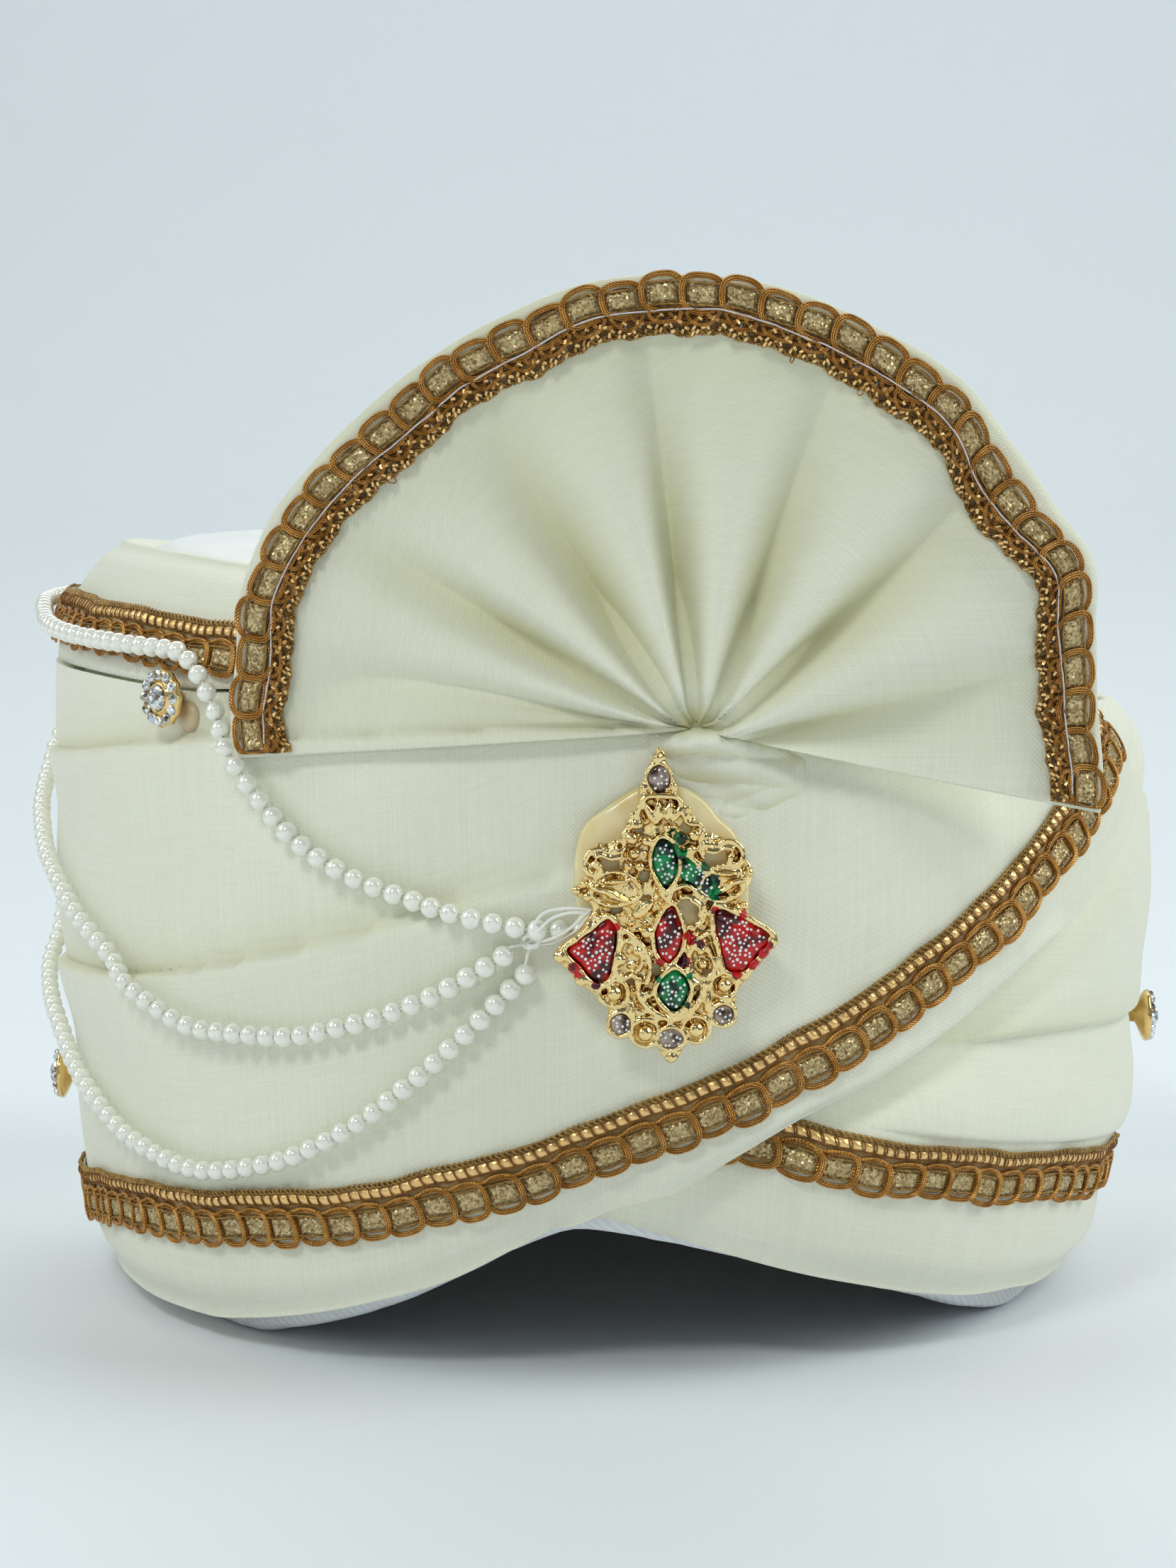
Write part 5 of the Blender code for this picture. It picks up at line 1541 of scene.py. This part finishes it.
for name, (angle, height) in STUDS.items():
    turn = np.radians(angle)
    out = np.array([HALF_DEPTH * np.sin(turn), -HALF_WIDTH * np.cos(turn), 0.0])
    out = out / np.linalg.norm(out)
    side = np.array([-out[1], out[0], 0.0])
    base = on_cloth(angle, height, 0.25)

    def on_stud(points):
        spot = base + points[..., :1] * side + points[..., 2:] * out
        return spot + points[..., 1:2] * UPWARDS

    made = [lathe(name + "_cup", on_stud(turned_grid(CUP, 3 * PETALS, PETALS, 0.06)), gilt)]
    for k in range(PETALS):
        ring = turned_grid(PETAL, 7)
        turn = 2 * np.pi * k / PETALS
        ring[..., 0] += PETAL_REACH * np.cos(turn)
        ring[..., 1] += PETAL_REACH * np.sin(turn)
        made.append(lathe(name + "_stone", on_stud(ring), rhinestone, flat=True))
    made.append(lathe(name + "_heart", on_stud(turned_grid(HEART, 9)), rhinestone, flat=True))
    if name == "flower_stud_front":
        ring = turned_grid(GLUE_BLOB, 18) + (2.8, -3.6, 0.0)
        made.append(lathe(name + "_glue", on_stud(ring), tan_glue))
    stud = fused(name + "_set", made)
    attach(stud, "root")
    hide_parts(name)

# The brooch: cast plated metal, built in its own plane in millimetres (across, up, stand) from
# balls, ropes, petals and a pierced web, then fused. Enamel pools lie in its frames.
BROOCH_X = 12.6
BROOCH_Z = 92.9
BROOCH_STAND = 3.3
ROPE_SIDES = 7
CAST_VOXEL = 0.27
BROOCH_OUTLINE = (
    (-1.6, 29.0), (-0.6, 26.6), (0.6, 24.0), (1.4, 21.6), (2.4, 19.2), (4.2, 17.4), (5.6, 14.6),
    (9.0, 13.0), (12.4, 12.0), (13.8, 9.4), (15.6, 6.2), (14.2, 3.2), (12.8, 0.6), (15.4, -2.4),
    (20.2, -6.2), (17.6, -10.0), (14.4, -13.4), (12.4, -16.6), (12.0, -20.6), (8.2, -22.0),
    (6.6, -24.4), (3.2, -24.8), (1.6, -28.2), (-0.6, -28.0), (-1.8, -25.2), (-5.4, -25.2),
    (-7.4, -23.4), (-10.6, -22.0), (-11.0, -18.2), (-13.6, -16.2), (-17.6, -12.4), (-20.8, -8.4),
    (-17.4, -5.4), (-14.6, -2.0), (-14.0, 0.6), (-17.2, 3.2), (-15.2, 5.6), (-15.0, 9.0),
    (-12.4, 11.4), (-8.8, 12.4), (-7.4, 15.8), (-5.4, 18.6), (-5.2, 21.4), (-3.8, 25.2),
)
HOLES = (
    (-10.6, 7.9, 1.5), (8.6, 9.3, 1.8), (3.6, -1.0, 2.1), (3.2, 14.6, 0.8), (-5.2, 14.4, 0.7),
    (-7.2, -13.2, 0.8), (7.2, -12.6, 0.8), (-1.8, 23.4, 1.5), (-9.4, -0.2, 0.7),
    (5.6, -14.6, 0.7), (-2.2, 11.2, 0.7), (0.4, 11.4, 0.6), (-4.4, 5.6, 0.7), (8.6, 0.8, 0.7),
    (-2.2, -11.4, 0.7),
)
BALLS = (
    # across, up, radius, stand
    (-2.1, 27.1, 0.95, 1.3), (-1.9, 28.6, 0.6, 1.2), (-4.6, 21.7, 0.85, 1.4),
    (0.8, 21.9, 0.9, 1.4), (-4.4, 20.6, 0.6, 1.5), (0.9, 20.7, 0.6, 1.5), (-6.6, 16.8, 0.75, 1.4),
    (-6.6, 15.4, 0.85, 1.4), (3.5, 17.8, 0.75, 1.4), (3.6, 16.6, 0.75, 1.4),
    (-0.4, 14.4, 0.8, 2.0), (-6.8, 12.6, 1.15, 2.0), (-4.1, 12.1, 1.0, 2.0),
    (-6.3, 9.9, 1.05, 2.0), (-7.5, 7.6, 0.95, 1.9), (-5.3, 7.4, 0.95, 1.9),
    (2.1, 12.6, 1.15, 2.0), (4.5, 13.1, 1.15, 2.0), (4.0, 10.4, 1.1, 2.0), (-9.8, 11.8, 0.8, 1.6),
    (-10.0, 10.6, 0.8, 2.0), (-12.7, 11.4, 0.6, 1.4), (7.7, 13.1, 0.6, 1.5),
    (7.5, 12.3, 0.75, 1.8), (-16.9, 3.3, 0.9, 1.5), (-15.4, 4.4, 0.8, 1.5),
    (-14.9, 2.1, 0.9, 1.7), (-13.8, 4.4, 0.7, 1.7), (12.7, 6.2, 0.95, 1.7),
    (14.7, 6.2, 0.85, 1.5), (13.2, 4.4, 0.9, 1.7), (11.9, 7.6, 0.6, 1.6), (-4.1, -4.4, 1.25, 2.0),
    (-5.8, -7.9, 0.9, 1.9), (-8.7, -9.4, 1.1, 1.9), (4.3, -3.7, 0.85, 1.8),
    (-3.8, -15.8, 0.85, 1.8), (-19.8, -8.7, 1.35, 1.5), (-17.3, -10.8, 0.9, 1.6),
    (-16.0, -13.0, 1.25, 1.6), (-13.6, -14.4, 0.9, 1.6), (-10.0, -15.5, 1.5, 1.9),
    (19.0, -6.4, 1.2, 1.5), (17.3, -8.5, 0.95, 1.6), (15.5, -10.5, 0.9, 1.6),
    (13.9, -12.6, 1.1, 1.6), (10.2, -14.3, 1.35, 1.9), (10.9, -16.8, 0.85, 1.6),
    (-4.3, -22.9, 1.5, 1.7), (5.0, -22.4, 1.5, 1.7), (0.5, -27.4, 1.2, 1.3),
    (-13.2, -1.7, 0.8, 1.6), (-14.5, -2.9, 0.75, 1.6), (13.9, 0.2, 0.9, 1.6),
    (12.3, -0.4, 0.8, 1.7), (5.8, -8.0, 0.8, 1.9), (6.2, -10.4, 0.9, 1.9), (-7.0, -6.0, 0.7, 1.9),
    (1.2, 16.4, 0.6, 1.8), (-2.4, 15.6, 0.6, 1.8), (-11.8, -16.9, 0.7, 1.5),
    (-2.2, -20.4, 0.7, 1.7), (3.4, -19.8, 0.7, 1.7), (-12.6, 1.6, 0.7, 1.7),
    (11.4, 2.0, 0.7, 1.7),
)
DROPS = (
    # across, up, half width, half length, lean, stand
    (-3.6, 17.2, 0.75, 1.9, 24, 1.9), (-1.9, 17.6, 0.8, 1.9, 8, 2.1),
    (-0.1, 17.5, 0.8, 1.9, -12, 2.1), (1.4, 17.0, 0.75, 1.8, -30, 1.9),
    (-6.8, -18.9, 0.8, 2.2, 4, 1.7), (7.2, -17.4, 0.75, 2.0, -8, 1.7),
    (-4.7, -0.1, 1.25, 2.5, -46, 1.8), (-9.8, 3.4, 2.4, 4.2, 82, 1.3),
    (9.9, 4.6, 2.4, 4.2, -78, 1.3), (-12.0, 3.2, 0.6, 2.6, 76, 2.6),
    (-9.6, 4.9, 0.5, 2.6, 96, 2.4), (-9.6, 2.0, 0.5, 2.6, 70, 2.4),
    (12.0, 4.6, 0.6, 2.4, -74, 2.6), (10.2, 6.1, 0.5, 2.4, -92, 2.4),
    (9.9, 3.2, 0.5, 2.4, -66, 2.4), (-1.2, 2.4, 0.6, 1.5, 30, 1.9),
    (0.2, 2.2, 0.6, 1.6, -20, 1.9),
)
ROPES = (
    # radius, bead pitch or 0, stand, closed, points (across, up)
    (0.42, 0, 1.5, True, ((-4.2, 23.6), (-3.2, 21.4), (-1.8, 20.7), (-0.3, 21.4), (0.5, 23.6),
        (-0.4, 25.4), (-1.9, 26.1), (-3.4, 25.4))),
    (0.6, 0, 2.0, False, ((-5.0, 19.0), (-4.2, 20.1), (-1.6, 20.3), (1.2, 20.0), (2.2, 18.8))),
    (0.5, 0, 1.7, False, ((-4.9, 19.2), (-5.6, 17.4), (-5.2, 15.0), (-7.2, 14.6), (-8.4, 12.8),
        (-8.0, 10.6))),
    (0.5, 0, 1.7, False, ((2.4, 18.6), (2.8, 16.4), (3.6, 15.2), (5.6, 15.0), (6.2, 13.2),
        (5.6, 11.0), (6.4, 8.8))),
    (0.62, 0, 1.9, False, ((-8.2, 10.4), (-10.4, 9.9), (-12.6, 10.7), (-14.6, 9.9), (-15.3, 8.0),
        (-14.6, 6.4), (-13.2, 6.3), (-12.6, 7.4), (-13.4, 8.3), (-14.1, 7.6))),
    (0.45, 0, 2.4, False, ((-8.6, 9.4), (-10.6, 9.0), (-12.6, 9.7), (-13.6, 9.2))),
    (0.62, 0, 1.9, False, ((6.2, 11.4), (8.4, 11.1), (10.6, 12.1), (12.9, 11.0), (13.5, 9.0),
        (12.6, 7.7), (11.3, 8.0), (11.2, 9.2), (12.0, 9.7))),
    (0.42, 0, 2.4, False, ((6.6, 10.3), (8.4, 10.0), (10.4, 10.8), (11.8, 10.4))),
    (0.45, 0, 2.3, True, ((-1.8, 12.9), (-3.4, 10.0), (-3.0, 6.4), (-0.6, 3.0), (1.6, 5.8),
        (1.9, 9.0), (0.6, 12.0))),
    (0.42, 0.9, 1.9, True, ((-5.0, 2.6), (-7.0, 5.6), (-10.4, 6.6), (-13.4, 5.2), (-14.2, 2.8),
        (-12.0, 0.8), (-8.4, 0.6))),
    (0.42, 0.9, 1.9, True, ((5.6, 3.2), (7.4, 6.6), (10.6, 7.6), (13.2, 6.0), (13.4, 3.0),
        (11.0, 1.4), (8.0, 1.4))),
    (0.5, 0, 2.0, True, ((0.6, 0.8), (-1.4, -1.0), (-2.9, -4.6), (-2.4, -8.4), (-0.2, -10.6),
        (2.0, -8.6), (2.9, -5.0), (2.0, -1.2))),
    (0.55, 0, 1.9, False, ((1.8, 1.8), (4.6, 1.8), (6.4, 0.0), (6.0, -2.6), (4.0, -3.4))),
    (0.45, 0, 2.4, False, ((3.8, 1.4), (5.6, 0.2), (5.4, -1.8))),
    (0.62, 0, 1.9, True, ((-11.0, -1.4), (-14.0, -3.4), (-17.0, -5.6), (-19.2, -7.6),
        (-16.6, -10.8), (-13.6, -14.0), (-10.8, -13.4), (-9.6, -9.0), (-9.0, -4.4))),
    (0.62, 0, 1.9, True, ((8.4, 0.2), (12.0, -0.9), (15.4, -2.6), (19.2, -5.6), (16.4, -9.6),
        (13.8, -12.4), (10.2, -11.8), (9.0, -7.6), (8.0, -3.6))),
    (0.45, 1.0, 1.8, True, ((-8.4, -6.2), (-5.4, -7.4), (-5.0, -10.4), (-7.4, -12.6),
        (-9.4, -11.6))),
    (0.45, 1.0, 1.8, True, ((6.0, -6.4), (4.0, -8.4), (4.4, -11.6), (6.8, -13.0), (8.4, -10.6))),
    (0.5, 0, 2.0, False, ((-9.2, -3.6), (-6.8, -5.0), (-4.2, -7.6), (-3.4, -11.0), (-4.2, -14.2))),
    (0.5, 0, 2.0, False, ((7.4, -4.6), (4.6, -6.4), (3.4, -9.4), (3.8, -12.4), (5.2, -14.2))),
    (0.75, 0, 1.7, False, ((-5.6, -12.6), (-5.4, -15.6), (-3.4, -18.6), (0.4, -20.4),
        (4.4, -18.6), (6.2, -15.4), (6.6, -12.4))),
    (0.5, 0, 2.2, True, ((1.0, -10.9), (-1.4, -12.6), (-2.6, -15.2), (-1.2, -18.0), (1.2, -19.4),
        (3.2, -17.8), (4.2, -15.0), (3.4, -12.6))),
    (0.5, 0, 1.7, True, ((-10.0, -13.1), (-12.3, -14.2), (-12.3, -16.8), (-10.0, -17.9),
        (-7.8, -16.8), (-7.8, -14.2))),
    (0.5, 0, 1.7, True, ((10.2, -12.0), (8.1, -13.2), (8.1, -15.5), (10.2, -16.6), (12.2, -15.5),
        (12.2, -13.2))),
    (0.5, 0, 1.6, True, ((-4.3, -20.4), (-6.5, -21.6), (-6.5, -24.2), (-4.3, -25.4),
        (-2.1, -24.2), (-2.1, -21.6))),
    (0.5, 0, 1.6, True, ((5.0, -19.9), (2.9, -21.1), (2.9, -23.6), (5.0, -24.8), (7.2, -23.6),
        (7.2, -21.1))),
    (0.5, 0, 1.7, True, ((-8.8, -18.9), (-10.8, -20.0), (-10.8, -22.4), (-8.8, -23.5),
        (-6.9, -22.3), (-6.9, -20.0))),
    (0.5, 0, 1.7, True, ((10.0, -17.6), (8.1, -18.7), (8.1, -20.9), (10.0, -21.9), (12.0, -20.8),
        (12.0, -18.6))),
    (0.5, 0, 1.7, True, ((0.3, -21.8), (-2.1, -23.0), (-2.0, -25.0), (0.4, -26.1), (2.8, -25.0),
        (2.8, -23.0))),
    (0.7, 0, 1.2, False, ((0.4, -25.6), (0.5, -27.2))),
    (0.55, 0, 1.9, False, ((1.4, 9.0), (3.4, 9.4), (5.6, 7.6), (7.4, 5.8))),
    (0.5, 0, 2.0, False, ((0.6, 3.2), (3.2, 4.0), (5.4, 2.4), (6.6, 0.8))),
)
turn = np.arctan2(BROOCH_X, HALF_DEPTH)
brooch_front = np.array([np.sin(turn), -np.cos(turn), 0.0])
brooch_across = np.array([np.cos(turn), np.sin(turn), 0.0])
brooch_middle = on_oval(np.degrees(turn), BROOCH_Z, BROOCH_STAND)


def on_brooch(points):
    """Points in the brooch's plane, as (across, up, stand), moved to the part."""
    points = np.asarray(points, float)
    flat = brooch_middle + points[..., :1] * brooch_across + points[..., 2:] * brooch_front
    return flat + points[..., 1:2] * UPWARDS


def inside(points, x, y):
    """Whether places lie inside a polygon."""
    found = np.zeros(np.shape(x), bool)
    points = np.array(points)
    for (ax, ay), (bx, by) in zip(points, np.roll(points, -1, 0)):
        crosses = (ay > y) != (by > y)
        cut = (bx - ax) * (y - ay) / np.where(by == ay, 1e-9, by - ay) + ax
        found ^= crosses & (x < cut)
    return found


cast = bmesh.new()


def cast_rope(path, radius, pitch, stand, closed):
    """Adds a plain or beaded rope to the casting."""
    flat = np.column_stack([path, np.full(len(path), stand)])
    points, faces, _ = sweep(flat, round_profile(1.0, ROPE_SIDES), closed)
    run = np.repeat(np.arange(len(path)), ROPE_SIDES)
    run = run * np.linalg.norm(np.diff(path, axis=0), axis=1).mean()
    lumps = 1 + 0.12 * np.sin(run * 1.7) + 0.06 * np.sin(run * 4.1 + 1)
    if pitch:
        lumps = 0.72 + 0.5 * np.abs(np.sin(np.pi * run / pitch))
    middle = np.repeat(flat, ROPE_SIDES, 0)
    points = middle + (points - middle) * (radius * lumps)[:, None]
    corners = [cast.verts.new(p) for p in points]
    for face in faces:
        cast.faces.new([corners[i] for i in face])


def cast_ball(place, radius, subdivisions=2):
    """Adds a ball, or a ball stretched by its place, to the casting."""
    bmesh.ops.create_icosphere(cast, subdivisions=subdivisions, radius=radius, matrix=place)


for radius, pitch, stand, closed, points in ROPES:
    span = np.linalg.norm(np.diff(np.array(points), axis=0), axis=1).sum()
    path = curve_through(points, max(8, int(span / 0.38)), closed)
    cast_rope(path, radius, pitch, stand, closed)
rim_path = curve_through(BROOCH_OUTLINE, 420, True)
cast_rope(rim_path * 0.965 + np.array([0, 0.02]), 0.62, 0, 0.9, True)
for x, up, radius, stand in BALLS:
    cast_ball(Matrix.Translation((x, up, stand)), radius)
for x, up, wide, high, lean, stand in DROPS:
    place = Matrix.Translation((x, up, stand)) @ Matrix.Rotation(np.radians(lean), 4, "Z")
    cast_ball(place @ Matrix.Diagonal((wide, high, 0.8, 1)), 1.0)
POOL_SHAPES = {
    # pool: its look, then points (across, up)
    "green_top": ("green", ((-1.8, 12.2), (-2.8, 9.6), (-2.4, 6.4), (-0.7, 3.8), (1.1, 6.0),
        (1.3, 9.0), (0.2, 11.4))),
    "green_blob": ("green", ((1.0, 6.2), (2.0, 8.4), (4.2, 8.6), (6.2, 7.0), (7.6, 5.4),
        (8.2, 2.6), (6.4, 1.4), (5.2, 3.4), (3.4, 4.8))),
    "red_middle": ("red", ((0.5, 0.0), (-1.2, -1.6), (-2.3, -4.8), (-1.8, -8.2), (-0.2, -9.9),
        (1.6, -8.2), (2.3, -5.0), (1.5, -1.6))),
    "red_left": ("red", ((-11.2, -2.2), (-14.4, -4.6), (-17.9, -7.4), (-15.6, -10.4),
        (-13.3, -13.0), (-11.2, -12.2), (-10.2, -8.6), (-9.8, -4.6))),
    "red_right": ("red", ((9.0, -1.0), (12.6, -1.5), (15.6, -3.4), (18.3, -5.6), (15.9, -8.9),
        (13.7, -11.4), (10.7, -11.0), (9.7, -7.6), (8.7, -4.2))),
    "green_bottom": ("green", ((0.9, -11.4), (-0.9, -12.9), (-1.9, -15.1), (-0.8, -17.5),
        (1.0, -18.7), (2.7, -17.4), (3.5, -15.0), (2.7, -12.9))),
    "clear_top": ("clear", ((-3.7, 23.6), (-3.1, 21.8), (-1.8, 21.2), (-0.5, 21.8), (0.0, 23.6),
        (-0.6, 25.0), (-1.9, 25.6), (-3.1, 25.0))),
    "clear_left": ("clear", ((-8.8, -19.4), (-10.3, -20.3), (-10.3, -22.1), (-8.8, -23.0),
        (-7.3, -22.1), (-7.3, -20.3))),
    "clear_right": ("clear", ((10.0, -18.1), (8.6, -18.9), (8.6, -20.6), (10.0, -21.4),
        (11.5, -20.6), (11.5, -18.9))),
    "clear_bottom": ("clear", ((0.4, -22.2), (-1.7, -23.1), (-1.6, -24.8), (0.4, -25.7),
        (2.4, -24.8), (2.4, -23.1))),
}
WEB_STEP = 0.5
x, y = np.meshgrid(np.arange(-22, 22, WEB_STEP), np.arange(-30, 30, WEB_STEP), indexing="ij")
web = inside(rim_path, x, y)
for hx, hy, radius in HOLES:
    web &= np.hypot(x - hx, y - hy) > radius
high = 1.15 + 0.2 * np.sin(1.9 * x + 0.7 * y) * np.sin(1.6 * y - 0.5 * x)
whole = web[:-1, :-1] & web[1:, :-1] & web[:-1, 1:] & web[1:, 1:]
for i, k in np.argwhere(whole):
    spots = [(i, k), (i + 1, k), (i + 1, k + 1), (i, k + 1)]
    low = [cast.verts.new((x[s], y[s], 0.1)) for s in spots]
    top = [cast.verts.new((x[s], y[s], high[s])) for s in spots]
    cast.faces.new(low[::-1])
    cast.faces.new(top)
    for a, b in ((0, 1), (1, 2), (2, 3), (3, 0)):
        cast.faces.new((low[a], low[b], top[b], top[a]))
rng = np.random.default_rng(11)
for spot in rng.uniform((-19, -24), (19, 18), (520, 2)):
    ok = inside(rim_path * 0.93, spot[0], spot[1])
    ok = ok and min(np.hypot(spot[0] - h[0], spot[1] - h[1]) - h[2] for h in HOLES) > 0.5
    ok = ok and min(np.hypot(spot[0] - b[0], spot[1] - b[1]) - b[2] for b in BALLS) > 0.35
    ok = ok and not any(inside(s[1], spot[0], spot[1]) for s in POOL_SHAPES.values())
    if ok:
        cast_ball(Matrix.Translation((*spot, 1.35)), rng.uniform(0.35, 0.6), 1)
bmesh.ops.recalc_face_normals(cast, faces=cast.faces)
mesh = bpy.data.meshes.new("brooch_cast")
cast.to_mesh(mesh)
cast.free()
brooch = new_object("brooch_cast", mesh)
weld = brooch.modifiers.new("fuse", "REMESH")
weld.mode = "VOXEL"
weld.voxel_size = CAST_VOXEL
soften = brooch.modifiers.new("soften", "SMOOTH")
soften.factor = 0.5
soften.iterations = 1
mesh = settle(brooch)
moved(mesh, on_brooch)
mesh.shade_smooth()

plated_gold = new_material("plated_gold", 0.16, metallic=1.0)
nodes = Nodes(plated_gold)
tone = nodes.mix(nodes.noise(260.0), (0.88, 0.6, 0.22), (1.0, 0.82, 0.44))
# Hollows of the casting are painted dark brown from ambient occlusion: painted shade.
hollow = nodes.add("ShaderNodeAmbientOcclusion", {"Distance": 0.0014}, output=1, samples=4)
nodes.colour(nodes.mix(nodes.ramp(hollow, 0.25, 0.8), (0.3, 0.13, 0.02), tone))
nodes.bump(nodes.noise(1300.0, 1.0), 0.00022, 0.55)
SPILLS = (
    # across, up, reach, look: enamel that ran over the casting
    (-17.3, -10.8, 1.1, 1), (-16.6, -12.0, 0.7, 1), (2.7, -9.9, 1.2, 1), (-1.6, -9.9, 0.8, 1),
    (17.3, -8.5, 1.1, 1), (15.5, -10.5, 1.1, 1), (18.3, -7.2, 0.8, 1), (4.2, -5.9, 0.9, 1),
    (5.8, -6.6, 0.8, 1), (3.2, -5.2, 0.7, 1), (12.4, -12.4, 0.9, 1), (-13.4, -14.0, 0.8, 1),
    (-9.6, -3.4, 0.7, 1), (8.4, -0.6, 0.8, 1), (13.6, -1.4, 0.7, 1), (2.1, 12.6, 1.2, 2),
    (0.8, 10.8, 0.9, 2), (2.2, 9.6, 1.0, 2), (7.8, 4.4, 1.5, 2), (8.4, 2.4, 1.2, 2),
    (6.6, 7.4, 0.9, 2), (-2.4, 8.8, 0.6, 2), (3.6, -12.6, 0.6, 2), (3.4, -17.8, 0.6, 2),
    (-1.9, -13.0, 0.6, 2),
)
marks = np.zeros(len(mesh.polygons), np.int32)
centres = np.empty(len(mesh.polygons) * 3, np.float32)
mesh.polygons.foreach_get("center", centres)
centres = centres.reshape(-1, 3) / MM - brooch_middle
plane = np.stack([centres @ brooch_across, centres[:, 2]], -1)
raised = centres @ brooch_front > 1.0
for x, up, reach, look in SPILLS:
    near = np.hypot(plane[:, 0] - x, plane[:, 1] - up) < reach
    marks[near & raised] = look


def enamel(name, deep, bright, rough=0.1):
    return clouded(name, rough, 330.0, deep, bright, band=(0.42, 0.6), bump=(0.0003, 0.35))


LOOKS = {
    "red": enamel("red_enamel", (0.06, 0.0, 0.002), (0.6, 0.008, 0.006)),
    "green": enamel("green_enamel", (0.0, 0.014, 0.007), (0.0, 0.27, 0.07)),
    "clear": enamel("clear_stone", (0.05, 0.02, 0.008), (0.42, 0.33, 0.27), 0.04),
}
mesh.materials.clear()
mesh.materials.append(plated_gold)
mesh.materials.append(LOOKS["red"])
mesh.materials.append(LOOKS["green"])
mesh.polygons.foreach_set("material_index", marks)
MICRO_RADIUS = 0.3
MICRO_APART = 0.62
micro = bpy.data.meshes.new("micro_bead")
build = bmesh.new()
bmesh.ops.create_icosphere(build, subdivisions=1, radius=MICRO_RADIUS * MM)
build.to_mesh(micro)
build.free()
micro.shade_smooth()
micro_bead = new_object("micro_bead", micro)
bead_glaze = clouded("bead_glaze", 0.35, 900.0, (0.86, 0.87, 0.88), (1.0, 1.0, 1.0), coat=0.4)


def scatter_tree():
    """Node tree that strews micro beads over a surface, never closer than a set distance."""
    tree, surface, end = new_tree("strewn", "Surface")
    inputs = {"Mesh": surface, "Distance Min": MICRO_APART * MM, "Density Max": 1.9e6, "Seed": 3}
    kind = "GeometryNodeDistributePointsOnFaces"
    strewn = add_node(tree, kind, inputs, distribute_method="POISSON")
    size = add_node(tree, "FunctionNodeRandomValue", {2: 0.75, 3: 1.2})
    spots = {"Points": strewn.outputs["Points"], "Scale": size.outputs[1]}
    tree.links.new(copies(tree, micro_bead, bead_glaze, spots), end.inputs["Geometry"])
    return tree


def rings_of(edge, rows):
    """Rings in the brooch's plane, from rows of (share of the outline, stand)."""
    middle = edge.mean(0)
    rings = []
    for size, stand in rows:
        ring = middle + (edge - middle) * size
        rings.append(np.column_stack([ring, np.full(len(edge), stand)]))
    return on_brooch(np.stack(rings, axis=1))


POOL_ROWS = ((1.06, 1.1), (1.04, 1.75), (0.9, 2.05), (0.6, 2.15), (0.25, 2.2))
POOL_SIDES = 30
strewn = scatter_tree()
pools = []
for name, (look, points) in POOL_SHAPES.items():
    grid = rings_of(curve_through(points, POOL_SIDES, True), POOL_ROWS)
    pool = lathe(name, grid, LOOKS[look])
    after = [(i + 1) % POOL_SIDES for i in range(POOL_SIDES)]
    faces = []
    for i, j in enumerate(after):
        faces += [(3 * i + k, 3 * i + k + 1, 3 * j + k + 1, 3 * j + k) for k in (0, 1)]
    faces.append(tuple(3 * i + 2 for i in range(POOL_SIDES)))
    dots = grown(name + "_dots", strewn, grid[:, 2:], faces=faces)
    pools += [pool, dots]
bpy.data.objects.remove(micro_bead)
ENAMEL_NODES = ("stone_green_top", "stone_red_middle", "stone_red_left", "stone_red_right")
CRYSTAL_NODES = ("crystal_top", "crystal_left", "crystal_right", "crystal_bottom")
stones = fused("brooch_stones", pools)
for piece in (brooch, stones):
    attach(piece, "root")
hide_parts("brooch")
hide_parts(*ENAMEL_NODES, "stone_green_bottom", *CRYSTAL_NODES)

# The patch: a disc of clear amber glue between the brooch and the cloth, which holds the brooch.
# It is thin at its edge.
PATCH = (
    (-16.4, 11.0), (-14.8, 15.0), (-10.4, 18.4), (-5.6, 21.4), (-1.6, 22.2), (3.6, 21.4),
    (7.4, 18.8), (9.6, 16.0), (12.6, 13.2), (14.6, 8.6), (15.2, 2.6), (15.0, -3.4), (13.4, -9.0),
    (9.4, -13.8), (2.6, -17.6), (-5.6, -18.2), (-12.4, -15.6), (-14.6, -10.0), (-16.0, -2.8),
    (-16.9, 5.0),
)
PATCH_ROWS = ((0.97, -2.6), (1.0, -2.2), (0.985, -1.7), (0.95, -1.3), (0.85, -0.9), (0.5, -0.5))
PATCH_SIDES = 90
wave = 0.12 * np.sin(np.arange(PATCH_SIDES) * 0.9)
rows = [(size, stand + wave * (size < 0.99)) for size, stand in PATCH_ROWS]
glue = clouded(
    "glue", 0.28, 120.0, (0.8, 0.62, 0.27), (0.93, 0.82, 0.52), detail=3.0, band=(0.3, 0.7),
    bump=(0.0004, 0.4), coat=0.3, more={"Subsurface Weight": 0.35, "Subsurface Scale": 0.003},
)
patch = lathe("glue_patch", rings_of(curve_through(PATCH, PATCH_SIDES, True), rows), glue)
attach(patch, "root")
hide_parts("brooch_patch")
